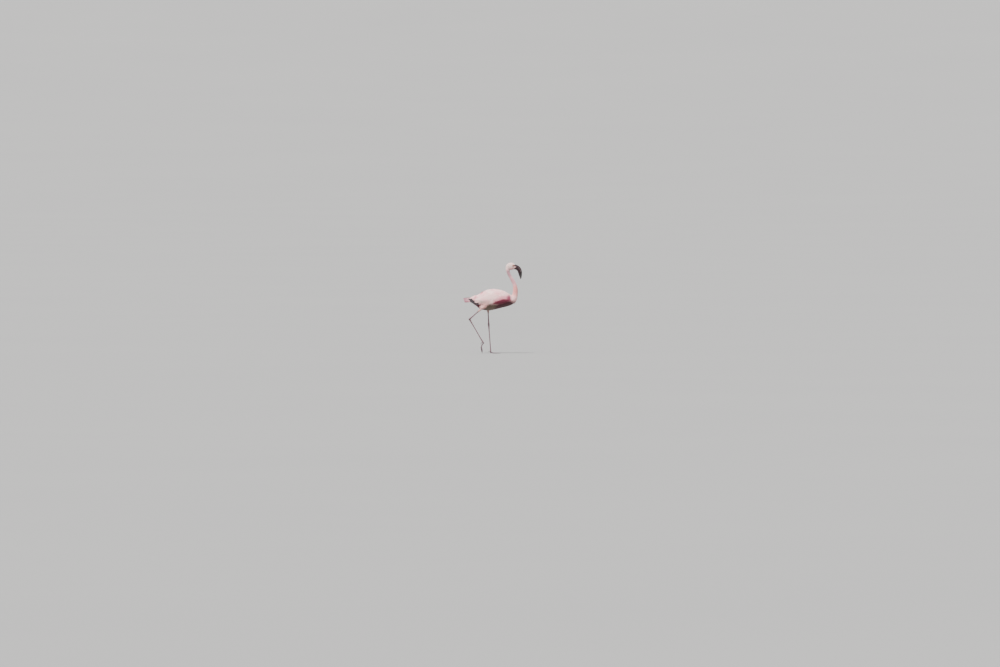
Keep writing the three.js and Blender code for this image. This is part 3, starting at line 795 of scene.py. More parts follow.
@dataclass(frozen=True)
class BillFinish:
    """Near-black horn with a maroon flush, a pale patch by the gape and fine lines along it."""

    name: str
    flush: str = "300D16"
    dark: str = "120A0C"
    patch: str = "D6A39F"
    patch_centre: tuple[float, float, float] = (186, 9, 741)
    patch_radii: tuple[float, float, float] = (17, 12, 10)
    patch_turn: float = 28.0

    def build(self, bend: np.ndarray) -> bpy.types.Material:
        """Builds the material.

        Args:
            bend: the point round which the bill bends, from which its zones are told.

        Returns:
            The material.
        """
        material, nodes, shader = new_material(self.name, 0.38)
        here = nodes.add("ShaderNodeTexCoord").outputs["Object"]
        parts = nodes.add("ShaderNodeSeparateXYZ", {0: here})
        waver = nodes.math("MULTIPLY_ADD", nodes.noise(here, 0.008), 8 * MM, -4 * MM)
        height = nodes.math("ADD", parts.outputs[2], waver)
        stretched = nodes.vector("MULTIPLY", here, (1.0, 5.0, 0.35))
        lines = nodes.noise(stretched, 0.0035)
        cloudy = nodes.noise(here, 0.016)
        flushed = nodes.math("MULTIPLY", nodes.fade(height, bend[2] - 45 * MM, bend[2] + 5 * MM), 0.9)
        colour = nodes.mix(flushed, linear(self.dark), linear(self.flush))
        colour = nodes.mix(nodes.fade(cloudy, 0.42, 0.66, 0, 0.6), colour, linear(self.dark))
        colour = nodes.mix(nodes.fade(lines, 0.5, 0.8, 0, 0.35), colour, linear("561D28"))
        side = nodes.math("ABSOLUTE", parts.outputs[1])
        spot = nodes.add("ShaderNodeCombineXYZ", {0: parts.outputs[0], 1: side, 2: height}).outputs[0]
        offset = nodes.vector("SUBTRACT", spot, tuple(mm(*self.patch_centre)))
        turned = nodes.add(
            "ShaderNodeVectorRotate", {"Vector": offset, "Angle": math.radians(self.patch_turn)}, rotation_type="Y_AXIS"
        )
        reach = nodes.vector("LENGTH", nodes.vector("DIVIDE", turned.outputs[0], tuple(mm(*self.patch_radii))))
        colour = nodes.mix(nodes.fade(reach, 0.35, 1.0, 0.85, 0), colour, linear(self.patch))
        # This attribute darkens the culmen, which is the horn's own colour, and paints shade into the nostril slit.
        dark = nodes.add("ShaderNodeAttribute", attribute_name="ridge_and_nostril_shade").outputs["Fac"]
        colour = nodes.mix(dark, colour, linear(self.dark))
        fine = nodes.math("ADD", lines, nodes.math("MULTIPLY", nodes.noise(here, 0.0012), 0.4))
        bump = nodes.add("ShaderNodeBump", {"Height": fine, "Strength": 0.35, "Distance": 0.25 * MM})
        rough = nodes.fade(lines, 0.3, 0.8, 0.34, 0.5)
        wire(nodes, shader, {"Base Color": colour, "Normal": bump.outputs[0], "Roughness": rough})
        return material


@dataclass(frozen=True)
class ClawFinish:
    """Dark horn with lengthwise lines and a worn tip."""

    name: str = "claw_horn"
    horn: str = "2A1C1F"
    worn: str = "6B5355"

    def build(self) -> bpy.types.Material:
        """Builds the material."""
        material, nodes, shader = new_material(self.name, 0.42)
        here = nodes.add("ShaderNodeTexCoord").outputs["Object"]
        lines = nodes.noise(nodes.vector("MULTIPLY", here, (0.4, 2.5, 2.5)), 0.0011)
        colour = nodes.mix(nodes.fade(lines, 0.35, 0.75), linear(self.horn), linear(self.worn))
        bump = nodes.add("ShaderNodeBump", {"Height": lines, "Strength": 0.4, "Distance": 0.15 * MM})
        wire(nodes, shader, {"Base Color": colour, "Normal": bump.outputs[0]})
        return material


@dataclass(frozen=True)
class EyeFinish:
    """An orange iris round a dark pupil under a wet, clear surface."""

    name: str = "eye_amber"
    pupil: float = 2.0 * MM
    iris: float = 3.9 * MM

    def build(self, plan: BodyPlan, axis: Vector) -> bpy.types.Material:
        """Builds the material.

        Args:
            plan: where the eyes are.
            axis: where the left eye looks.

        Returns:
            The material, which suits both eyes.
        """
        material, nodes, shader = new_material(self.name, 0.08)
        here = nodes.add("ShaderNodeTexCoord").outputs["Object"]
        parts = nodes.add("ShaderNodeSeparateXYZ", {0: here})
        side = nodes.math("ABSOLUTE", parts.outputs[1])
        spot = nodes.add("ShaderNodeCombineXYZ", {0: parts.outputs[0], 1: side, 2: parts.outputs[2]}).outputs[0]
        offset = nodes.vector("SUBTRACT", spot, tuple(plan.eye_left))
        off_axis = nodes.vector("CROSS_PRODUCT", offset, tuple(axis))
        radius = nodes.vector("LENGTH", off_axis)
        streaks = nodes.noise(nodes.vector("NORMALIZE", off_axis), 0.09, 2)
        iris = nodes.mix(nodes.fade(streaks, 0.35, 0.7), linear("C4571A"), linear("EE9A2E"))
        iris = nodes.mix(nodes.fade(radius, self.iris * 0.75, self.iris), iris, linear("6E2412"))
        colour = nodes.mix(nodes.fade(radius, self.iris, self.iris * 1.08), iris, linear("1A0A0A"))
        colour = nodes.mix(nodes.fade(radius, self.pupil, self.pupil * 1.12, 1, 0), colour, linear("050404"))
        wire(nodes, shader, {"Base Color": colour, "Coat Weight": 1.0, "Coat Roughness": 0.02})
        return material


# The skin ----------------------------------------------------------------------------------------------------


@dataclass
class SkinSurface:
    """Ways to find the skin's places, normals and regions."""

    mesh: bpy.types.Mesh
    tree: BVHTree = field(init=False)
    node_tree: BVHTree = field(init=False)
    node_names: list[str] = field(init=False)
    node_of_face: list[int] = field(init=False)

    def __post_init__(self) -> None:
        """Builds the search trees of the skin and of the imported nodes."""
        vertices = [tuple(v) for v in coordinates(self.mesh)]
        self.tree = BVHTree.FromPolygons(vertices, [tuple(p.vertices) for p in self.mesh.polygons])
        points: list[tuple[float, ...]] = []
        faces: list[tuple[int, ...]] = []
        self.node_names = sorted(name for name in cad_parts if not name.startswith(("claw", "eye")))
        self.node_of_face = []
        for number, name in enumerate(self.node_names):
            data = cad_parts[name].data
            shift = len(points)
            points.extend(tuple(v.co) for v in data.vertices)
            faces.extend(tuple(i + shift for i in p.vertices) for p in data.polygons)
            self.node_of_face.extend([number] * len(data.polygons))
        self.node_tree = BVHTree.FromPolygons(points, faces)

    def node_at(self, point: np.ndarray) -> str:
        """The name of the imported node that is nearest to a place."""
        return self.node_names[self.node_of_face[self.node_tree.find_nearest(point)[2]]]

    def project(self, point: np.ndarray) -> tuple[np.ndarray, np.ndarray]:
        """The nearest place on the skin and the skin's normal there."""
        place, normal, _, _ = self.tree.find_nearest(point)
        return np.array(place), np.array(normal)


@dataclass
class Skin:
    """The bird's one skin, which replaces every node of flesh."""

    plan: BodyPlan
    body_voxel: float = 2.9 * MM
    head_voxel: float = 1.05 * MM
    leg_voxel: float = 0.85 * MM
    leg_share: float = 0.55
    web_growth: float = 0.35 * MM
    coat_depth: float = 4.2 * MM
    wing_tips: float = -178 * MM
    tip_cut: float = 0.7
    neck_depth: float = 2.4 * MM
    head_depth: float = 1.5 * MM
    base_half_height: float = 22.0 * MM
    base_half_width: float = 11.9 * MM
    taper: float = 16.0 * MM
    lid_radius: float = 4.9 * MM
    lid_thickness: float = 1.0 * MM
    stem_ring: float = 5.0 * MM
    stem_length: float = 42.0 * MM
    scute_pitch: float = 4.6 * MM
    scute_depth: float = 0.35 * MM
    eye_axis: Vector = field(default_factory=lambda: Vector((0.22, 0.97, 0.06)).normalized())

    def lid(self, side: int) -> bpy.types.Mesh:
        """The rim of bare skin round one eye.

        Args:
            side: 1 for the left eye and -1 for the right one.

        Returns:
            The rim as a closed ring.
        """
        eye = self.plan.eye_left if side > 0 else self.plan.eye_right
        axis = Vector((self.eye_axis.x, side * self.eye_axis.y, self.eye_axis.z))
        bm = bmesh.new()
        section = bmesh.ops.create_circle(bm, cap_ends=False, segments=10, radius=self.lid_thickness)
        bmesh.ops.rotate(bm, verts=section["verts"], cent=(0, 0, 0), matrix=Matrix.Rotation(math.pi / 2, 3, "X"))
        bmesh.ops.translate(bm, verts=section["verts"], vec=(self.lid_radius, 0, 0))
        bmesh.ops.spin(
            bm, geom=bm.verts[:] + bm.edges[:], cent=(0, 0, 0), axis=(0, 0, 1), angle=math.tau, steps=28, use_merge=True
        )
        bmesh.ops.remove_doubles(bm, verts=bm.verts, dist=0.01 * MM)
        bmesh.ops.recalc_face_normals(bm, faces=bm.faces)
        turn = axis.to_track_quat("Z", "Y").to_matrix()
        bmesh.ops.rotate(bm, verts=bm.verts, cent=(0, 0, 0), matrix=turn)
        forward = self.plan.eye_radius * 0.42
        bmesh.ops.translate(bm, verts=bm.verts, vec=eye + axis * forward)
        return mesh_from(bm, "lid")

    def stem(self, side: str) -> bpy.types.Mesh:
        """A short stem that carries a shin straight on up into its thigh.

        Args:
            side: left or right.

        Returns:
            The closed stem.
        """
        points = coordinates(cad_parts["shin_" + side].data)
        knee = np.array(self.plan.legs[side].points[0])
        far = np.linalg.norm(points - knee, axis=1)
        top_ring = points[far < far.min() + self.stem_ring]
        top = top_ring.mean(axis=0)
        low_ring = points[(far > far.min() + 3 * self.stem_ring) & (far < far.min() + 6 * self.stem_ring)]
        way = unit(top - low_ring.mean(axis=0))
        across = top_ring - top
        across = across - (across @ way)[:, None] * way
        radius = np.linalg.norm(across, axis=1).mean() * 0.9
        start = Vector(top - way * 6 * MM)
        end = Vector(top + way * self.stem_length)
        bm = bmesh.new()
        bmesh.ops.create_cone(
            bm, cap_ends=True, segments=24, radius1=radius, radius2=radius * 0.8, depth=(end - start).length
        )
        turn = (end - start).to_track_quat("Z", "Y").to_matrix()
        bmesh.ops.rotate(bm, verts=bm.verts, cent=(0, 0, 0), matrix=turn)
        bmesh.ops.translate(bm, verts=bm.verts, vec=(start + end) / 2)
        return mesh_from(bm, "stem")

    def inset(self, mesh: bpy.types.Mesh, depth: np.ndarray) -> bpy.types.Mesh:
        """Moves each vertex inwards by its own depth."""
        set_coordinates(mesh, coordinates(mesh) - normals(mesh) * depth[:, None])
        return mesh

    def body(self) -> bpy.types.Mesh:
        """Trunk, wings, neck and thighs under the coat."""
        nodes = ["trunk", "wing_left", "wing_right", "neck_lower", "neck_middle", "neck_upper"]
        nodes += ["thigh_left", "thigh_right"]
        mesh = mesh_from(copy_of_nodes(nodes), "body")
        mesh = remeshed(mesh, self.body_voxel, 9)
        points = coordinates(mesh)
        behind = np.minimum(points[:, 0] - self.wing_tips, 0)
        points[:, 0] -= behind * self.tip_cut
        set_coordinates(mesh, points)
        along_neck = smooth_step(505 * MM, 545 * MM, points[:, 2]) * (points[:, 0] > 90 * MM)
        depth = self.coat_depth + (self.neck_depth - self.coat_depth) * along_neck
        top_of_neck = smooth_step(690 * MM, 728 * MM, points[:, 2])
        depth = depth + 6 * MM * top_of_neck
        rear = smooth_step(-120 * MM, -205 * MM, points[:, 0])
        depth = depth + 4 * MM * rear
        cuff = np.zeros(len(points))
        for side, end in (("left", mm(-41, 38, 346)), ("right", mm(-128, -46, 356))):
            gap = np.linalg.norm(points - end, axis=1)
            cuff = np.maximum(cuff, 1 - smooth_step(10 * MM, 60 * MM, gap))
        depth = depth * (1 - 0.72 * cuff)
        return self.inset(mesh, depth)

    def head(self) -> bpy.types.Mesh:
        """The head with its lids, and the top of the neck."""
        lids = [self.lid(side) for _, side in SIDES]
        mesh = mesh_from(copy_of_nodes(["head", "neck_upper"], lids), "head")
        mesh = remeshed(mesh, self.head_voxel, 7)
        points = coordinates(mesh)
        towards_bill = smooth_step(168 * MM, 188 * MM, points[:, 0]) * (points[:, 2] < 765 * MM)
        depth = self.head_depth * (1 - 0.8 * towards_bill)
        for eye in (self.plan.eye_left, self.plan.eye_right):
            gap = np.linalg.norm(points - np.array(eye), axis=1)
            depth = depth * smooth_step(6 * MM, 11 * MM, gap)
        top, chin = (mm(a, 0, b) for a, b in self.plan.bill_base)
        up = unit(top - chin)
        behind = (top - points) @ unit(np.cross(mm(0, 1, 0), up))
        rise = (points - (top + chin) / 2) @ up
        excess = np.hypot(rise / self.base_half_height, points[:, 1] / self.base_half_width)
        narrow = smooth_step(self.taper, 0, behind) * (excess > 1) * (points[:, 2] > 715 * MM)
        share = (1 / np.maximum(excess, 1) - 1) * narrow
        shifted = points + (up * rise[:, None] + np.array([0, 1, 0]) * points[:, 1:2]) * share[:, None]
        set_coordinates(mesh, shifted)
        bottom = smooth_step(712 * MM, 672 * MM, points[:, 2])
        depth = depth + 7 * MM * bottom
        return self.inset(mesh, depth)

    def legs(self) -> bpy.types.Mesh:
        """Both bare legs and feet, with scutes down the front of the shanks."""
        nodes = [part + "_" + side for side, _ in SIDES for part in ("shin", "tarsus", "foot")]
        stems = [self.stem(side) for side, _ in SIDES]
        mesh = mesh_from(copy_of_nodes(nodes, stems), "legs")
        points = coordinates(mesh)
        for side, _ in SIDES:
            low, high = (np.array(corner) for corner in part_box("foot_" + side))
            foot = ((points > low - 0.1 * MM) & (points < high + 0.1 * MM)).all(axis=1)
            points[foot] += normals(mesh)[foot] * self.web_growth
        points[:, 2] = np.maximum(points[:, 2], 0.05 * MM)
        set_coordinates(mesh, points)
        mesh = remeshed(mesh, self.leg_voxel, 3)
        points = coordinates(mesh)
        depth = np.zeros(len(points))
        for side, _ in SIDES:
            low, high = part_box("tarsus_" + side)
            inside = (points[:, 2] < high.z + 0.01) & (points[:, 2] > low.z - 0.01)
            inside &= (points[:, 1] > low.y - 0.012) & (points[:, 1] < high.y + 0.012)
            axis = unit(np.array([high.x - low.x, 0, low.z - high.z])) if side == "right" else np.array([0, 0, -1.0])
            way = points @ axis
            phase = (way / self.scute_pitch) % 1.0
            groove = np.exp(-(((phase - 0.5) / 0.12) ** 2))
            facing = np.clip(normals(mesh)[:, 0] * 1.4 + 0.1, 0, 1)
            depth += np.where(inside, groove * self.scute_depth * facing, 0)
        mesh = self.inset(mesh, depth)
        return with_modifiers(mesh, [("DECIMATE", {"decimate_type": "COLLAPSE", "ratio": self.leg_share})])

    def masks(self, mesh: bpy.types.Mesh) -> None:
        """Stores where the skin is bare, and where it is a joint, a foot or the face."""
        points = coordinates(mesh)
        left_cuff = smooth_step(350 * MM, 342 * MM, points[:, 2]) * (points[:, 0] > -75 * MM)
        right_way = (points - mm(-128, -46, 356)) @ unit(mm(-201 + 128, 0, 295 - 356))
        right_cuff = smooth_step(-6 * MM, 2 * MM, right_way) * (points[:, 0] <= -75 * MM)
        bare = np.maximum(left_cuff, right_cuff) * (points[:, 2] < 372 * MM)
        joint = np.zeros(len(points))
        for side, centre, size in (("left", mm(-36, 22, 247), 15), ("right", mm(-201, -42, 295), 15)):
            gap = np.linalg.norm(points - centre, axis=1)
            joint = np.maximum(joint, 1 - smooth_step(0.4 * size * MM, 1.5 * size * MM, gap))
        foot = smooth_step(104 * MM, 88 * MM, points[:, 2]) * (points[:, 1] < -15 * MM) * (points[:, 0] < -70 * MM)
        foot = np.maximum(foot, smooth_step(28 * MM, 12 * MM, points[:, 2]))
        face = self.plan.bare_face(points)
        for name, values in (("bare", bare), ("joint", joint * 0.85), ("foot", foot * 0.9), ("face", face)):
            layer = mesh.attributes.new(name, "FLOAT", "POINT")
            layer.data.foreach_set("value", values.astype(np.float32))

    def build(self, palette: Palette) -> tuple[bpy.types.Object, SkinSurface]:
        """Builds the skin.

        Args:
            palette: the shared shader groups.

        Returns:
            The skin and the surface on which the coat is laid.
        """
        mesh = united(united(self.body(), self.head()), self.legs())
        for polygon in mesh.polygons:
            polygon.use_smooth = True
        self.masks(mesh)
        piece = new_piece("skin", mesh)
        mesh.materials.clear()
        mesh.materials.append(SkinFinish().build(palette, self.plan))
        flesh = ["trunk", "wing_left", "wing_right", "neck_lower", "neck_middle", "neck_upper", "head"]
        flesh += [part + "_" + side for side, _ in SIDES for part in ("thigh", "shin", "tarsus", "foot")]
        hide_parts(*flesh)
        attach(piece, BODY)
        return piece, SkinSurface(mesh)


# Vanes -------------------------------------------------------------------------------------------------------


@dataclass(frozen=True)
class VaneShape:
    """The outline and the faces of one kind of feather."""

    along: int = 4
    across: int = 4
    root_width: float = 0.35
    widest: float = 0.55
    tip_width: float = 0.6
    rounding: float = 0.3
    fray: float = 0.05
    camber: float = 0.08
    thickness: float = 0.25 * MM

    def half_width(self, s: np.ndarray) -> np.ndarray:
        """The share of the full half width at each share of the length."""
        rising = self.root_width + (1 - self.root_width) * smooth_step(0, self.widest, s)
        falling = 1 - (1 - self.tip_width) * smooth_step(self.widest, 1.0, s)
        return rising * falling


@dataclass
class Feathers:
    """Roots, directions and sizes of many feathers of one kind."""

    roots: np.ndarray
    directions: np.ndarray
    lengths: np.ndarray
    widths: np.ndarray
    lifts: np.ndarray
    start_lifts: np.ndarray | float = 0.2 * MM
    stiff: np.ndarray | bool = False


MOST_TURN = math.radians(15)
WHOLE_TURN = math.radians(42)
FREE_BEND = math.radians(0.45) / MM
NARROW_PART = -138 * MM
LEAST_REACH = 0.87
LEAST_LIE = 0.7


def write_bake_map(mesh: bpy.types.Mesh, line: Line) -> None:
    """Gives each feather a small patch at its root's place on the unrolled skin.

    Args:
        mesh: feathers with the attribute root and the map Vane.
        line: the line that the skin is unrolled round.
    """
    flat = np.empty(len(mesh.vertices) * 3, np.float32)
    mesh.attributes["root"].data.foreach_get("vector", flat)
    roots, feather = np.unique(flat.reshape(-1, 3), axis=0, return_inverse=True)
    rolled = line.unwrap(roots.astype(float))
    span = np.maximum(np.ptp(rolled, axis=0), 1e-6)
    rolled = 0.02 + 0.96 * (rolled - rolled.min(axis=0)) / span
    corners = np.empty(len(mesh.loops), np.int32)
    mesh.loops.foreach_get("vertex_index", corners)
    vane = np.empty(len(mesh.loops) * 2, np.float32)
    mesh.uv_layers["Vane"].data.foreach_get("uv", vane)
    places = rolled[feather.ravel()[corners]] + (vane.reshape(-1, 2) - 0.5) * BAKE_PATCH
    bake_map = mesh.uv_layers.get("OFBake") or mesh.uv_layers.new(name="OFBake")
    bake_map.data.foreach_set("uv", places.astype(np.float32).ravel())


BAKE_PATCH = 0.003


def lay_vanes(
    name: str, feathers: Feathers, shape: VaneShape, surface: SkinSurface, line: Line, rng: np.random.Generator
) -> bpy.types.Object:
    """Lays closed vanes over the skin as one joined mesh.

    Args:
        name: the piece's name.
        feathers: the feathers' roots, directions and sizes.
        shape: their outline and faces.
        surface: the skin that they follow.
        line: the line that the bake map is rolled out from.
        rng: the seeded source of small differences.

    Returns:
        The piece, with its maps and attributes.
    """
    rows = shape.along + 1
    columns = shape.across + 1
    count = len(feathers.roots)
    s = np.linspace(0, 1, rows)
    t = np.sin(np.linspace(-math.pi / 2, math.pi / 2, columns))
    profile = shape.half_width(s)
    spine = np.empty((count, rows, 3))
    left = np.empty((count, rows, 3))
    right = np.empty((count, rows, 3))
    ups = np.empty((count, rows, 3))
    starts = np.empty((count, 3))
    find = surface.tree.find_nearest
    start_lifts = np.broadcast_to(feathers.start_lifts, (count,))
    stiff = np.broadcast_to(feathers.stiff, (count,))
    folds = feathers.roots[:, 0] < NARROW_PART
    for i in range(count):
        point, normal, _, _ = find(feathers.roots[i])
        normal = Vector(normal)
        point = Vector(point)
        way = Vector(feathers.directions[i])
        way = (way - normal * way.dot(normal)).normalized()
        starts[i] = way
        step = feathers.lengths[i] / shape.along
        free = False
        spent = 0.0
        for k in range(rows):
            if k:
                hit, bump, _, gap = find(point + way * step)
                aim = (hit - point).normalized()
                turn = way.angle(aim, 0.0)
                inward = aim.dot(normal) < 0
                sharp = turn > MOST_TURN or spent + turn > WHOLE_TURN or gap > step * 0.5
                loose = gap > step * 0.3 or bool(stiff[i])
                free = inward and (loose if free else sharp)
                if free:
                    way = way.lerp(aim, min(1.0, FREE_BEND * step / max(turn, 0.001))).normalized()
                    point = point + way * step
                    if (point - hit).dot(bump) < 0:
                        point = hit
                else:
                    spent += turn if inward else 0.0
                    way = aim
                    point = hit
                    normal = (normal + bump * 2).normalized()
                normal = (normal - way * normal.dot(way)).normalized()
            side = way.cross(normal)
            half = feathers.widths[i] * 0.5 * profile[k]
            lift = start_lifts[i] + feathers.lifts[i] * s[k]
            for sign, store in ((-1, left), (1, right)):
                edge = point + side * (sign * half)
                if not (free or folds[i]):
                    hit, bump, _, gap = find(edge)
                    hold = min(max((bump.dot(normal) - 0.5) / 0.35, 0.0), 1.0) if gap < half else 0.0
                    loose_edge = edge + normal * (lift * 0.4 - half * 0.2)
                    edge = loose_edge.lerp(hit + bump * (lift * 0.75), hold)
                else:
                    edge = edge + normal * (lift * 0.6 - half * 0.1)
                store[i, k] = edge
            spine[i, k] = point + normal * (lift + half * shape.camber)
            ups[i, k] = normal
    laid = spine[:, -1] - spine[:, 0]
    tidy = np.linalg.norm(laid, axis=1) > LEAST_REACH * feathers.lengths
    tidy &= (unit(laid) * starts).sum(axis=1) > LEAST_LIE
    spine, left, right, ups = (part[tidy] for part in (spine, left, right, ups))
    roots = feathers.roots[tidy]
    count = len(roots)
    for _ in range(2):
        for part in (spine, left, right):
            part[:, 1:-1] = (part[:, :-2] + 2 * part[:, 1:-1] + part[:, 2:]) / 4
    grid = np.empty((count, rows, columns, 3))
    for j, value in enumerate(t):
        outer = right if value > 0 else left
        share = abs(value) ** 1.15
        grid[:, :, j] = spine * (1 - share) + outer * share
    reach = 1 - shape.rounding * (1 - np.sqrt(np.clip(1 - t * t, 0, 1)))
    extent = reach[None, :] + rng.uniform(-shape.fray, shape.fray, (count, columns))
    extent = np.clip(extent, 0.3, 1.0)
    place = s[None, :, None] * extent[:, None, :] * (rows - 1)
    low = np.clip(np.floor(place).astype(int), 0, rows - 2)
    part = (place - low)[..., None]
    index = np.arange(count)[:, None, None]
    column = np.arange(columns)[None, None, :]
    top = grid[index, low, column] * (1 - part) + grid[index, low + 1, column] * part
    up = ups[index, low] * (1 - part) + ups[index, low + 1] * part
    inner = np.ones((rows, columns), bool)
    inner[0] = inner[-1] = False
    inner[:, 0] = inner[:, -1] = False
    inner_slots = np.flatnonzero(inner.ravel())
    below = top.reshape(count, -1, 3)[:, inner_slots] - up.reshape(count, -1, 3)[:, inner_slots] * shape.thickness
    per_vane = rows * columns + len(inner_slots)
    vertices = np.concatenate([top.reshape(count, -1, 3), below], axis=1).reshape(-1, 3)
    lower = np.arange(rows * columns)
    lower[inner_slots] = rows * columns + np.arange(len(inner_slots))
    quads = []
    for k in range(rows - 1):
        for j in range(columns - 1):
            a, b = k * columns + j, k * columns + j + 1
            c, d = a + columns, b + columns
            quads.append((a, b, d, c))
            quads.append((lower[c], lower[d], lower[b], lower[a]))
    faces = np.array(quads)[None] + (np.arange(count) * per_vane)[:, None, None]
    rim = np.zeros(per_vane, bool)
    rim[: rows * columns] = ~inner.ravel()
    local_t = np.tile((t + 1) / 2, rows)
    local_s = (s[:, None] * np.ones(columns)[None]).ravel()
    local = np.stack([local_t, local_s], axis=1)
    local = np.concatenate([local, local[inner_slots]])
    mesh = bpy.data.meshes.new(name)
    mesh.vertices.add(len(vertices))
    mesh.vertices.foreach_set("co", vertices.astype(np.float32).ravel())
    flat = faces.reshape(-1)
    mesh.loops.add(len(flat))
    mesh.loops.foreach_set("vertex_index", flat.astype(np.int32))
    total = len(flat) // 4
    mesh.polygons.add(total)
    mesh.polygons.foreach_set("loop_start", np.arange(0, len(flat), 4, dtype=np.int32))
    mesh.polygons.foreach_set("use_smooth", np.ones(total, bool))
    mesh.update(calc_edges=True)
    rims = np.tile(rim, count)
    ends = np.empty(len(mesh.edges) * 2, np.int32)
    mesh.edges.foreach_get("vertices", ends)
    ends = ends.reshape(-1, 2)
    sharp = mesh.attributes.new("sharp_edge", "BOOLEAN", "EDGE")
    sharp.data.foreach_set("value", rims[ends[:, 0]] & rims[ends[:, 1]])
    vane_map = mesh.uv_layers.new(name="Vane")
    shares = np.tile(local, (count, 1))[flat]
    vane_map.data.foreach_set("uv", shares.astype(np.float32).ravel())
    root = mesh.attributes.new("root", "FLOAT_VECTOR", "POINT")
    root.data.foreach_set("vector", np.repeat(roots, per_vane, axis=0).astype(np.float32).ravel())
    tone = mesh.attributes.new("tone", "FLOAT", "POINT")
    tones = rng.uniform(0, 1, count)
    tone.data.foreach_set("value", np.repeat(tones, per_vane).astype(np.float32))
    write_bake_map(mesh, line)
    return new_piece(name, mesh)


# The coat ----------------------------------------------------------------------------------------------------


@dataclass(frozen=True)
class Tract:
    """The feathers of one region: their sizes and how close they stand."""

    region: Region
    spacing: float
    width: float
    lift: float
    shape: VaneShape


SMALL_VANE = VaneShape(
    along=3, across=2, root_width=0.6, tip_width=0.5, rounding=0.4, fray=0.12, thickness=0.08 * MM
)
NECK_VANE = VaneShape(
    along=4, across=4, root_width=0.6, tip_width=0.6, rounding=0.45, fray=0.12, thickness=0.1 * MM
)
BODY_VANE = VaneShape(along=5, across=6, root_width=0.5, tip_width=0.85, rounding=0.4, fray=0.06)
WING_VANE = VaneShape(along=6, across=8, root_width=0.6, tip_width=0.7, rounding=0.42, fray=0.035)
PLUME_VANE = VaneShape(along=12, across=8, root_width=0.7, widest=0.3, tip_width=0.22, rounding=0.12, fray=0.03)
QUILL_VANE = VaneShape(
    along=16, across=10, root_width=0.55, widest=0.4, tip_width=0.5, rounding=0.14, fray=0.01, camber=0.1,
    thickness=0.6 * MM,
)

TRACTS = {
    Region.HEAD: Tract(Region.HEAD, 0.215, 0.36, 0.08, SMALL_VANE),
    Region.NECK: Tract(Region.NECK, 0.2, 0.38, 0.075, NECK_VANE),
    Region.TRUNK: Tract(Region.TRUNK, 0.21, 0.52, 0.065, BODY_VANE),
    Region.WING_LEFT: Tract(Region.WING_LEFT, 0.225, 0.45, 0.06, WING_VANE),
    Region.WING_RIGHT: Tract(Region.WING_RIGHT, 0.225, 0.45, 0.06, WING_VANE),
    Region.THIGH_LEFT: Tract(Region.THIGH_LEFT, 0.22, 0.46, 0.07, NECK_VANE),
    Region.THIGH_RIGHT: Tract(Region.THIGH_RIGHT, 0.22, 0.46, 0.07, NECK_VANE),
}

REGION_OF_NODE = {
    "head": Region.HEAD,
    "neck_upper": Region.NECK,
    "neck_middle": Region.NECK,
    "neck_lower": Region.NECK,
    "trunk": Region.TRUNK,
    "tail": Region.TRUNK,
    "wing_left": Region.WING_LEFT,
    "wing_right": Region.WING_RIGHT,
    "flight_feathers_left": Region.WING_LEFT,
    "flight_feathers_right": Region.WING_RIGHT,
    "thigh_left": Region.THIGH_LEFT,
    "thigh_right": Region.THIGH_RIGHT,
}


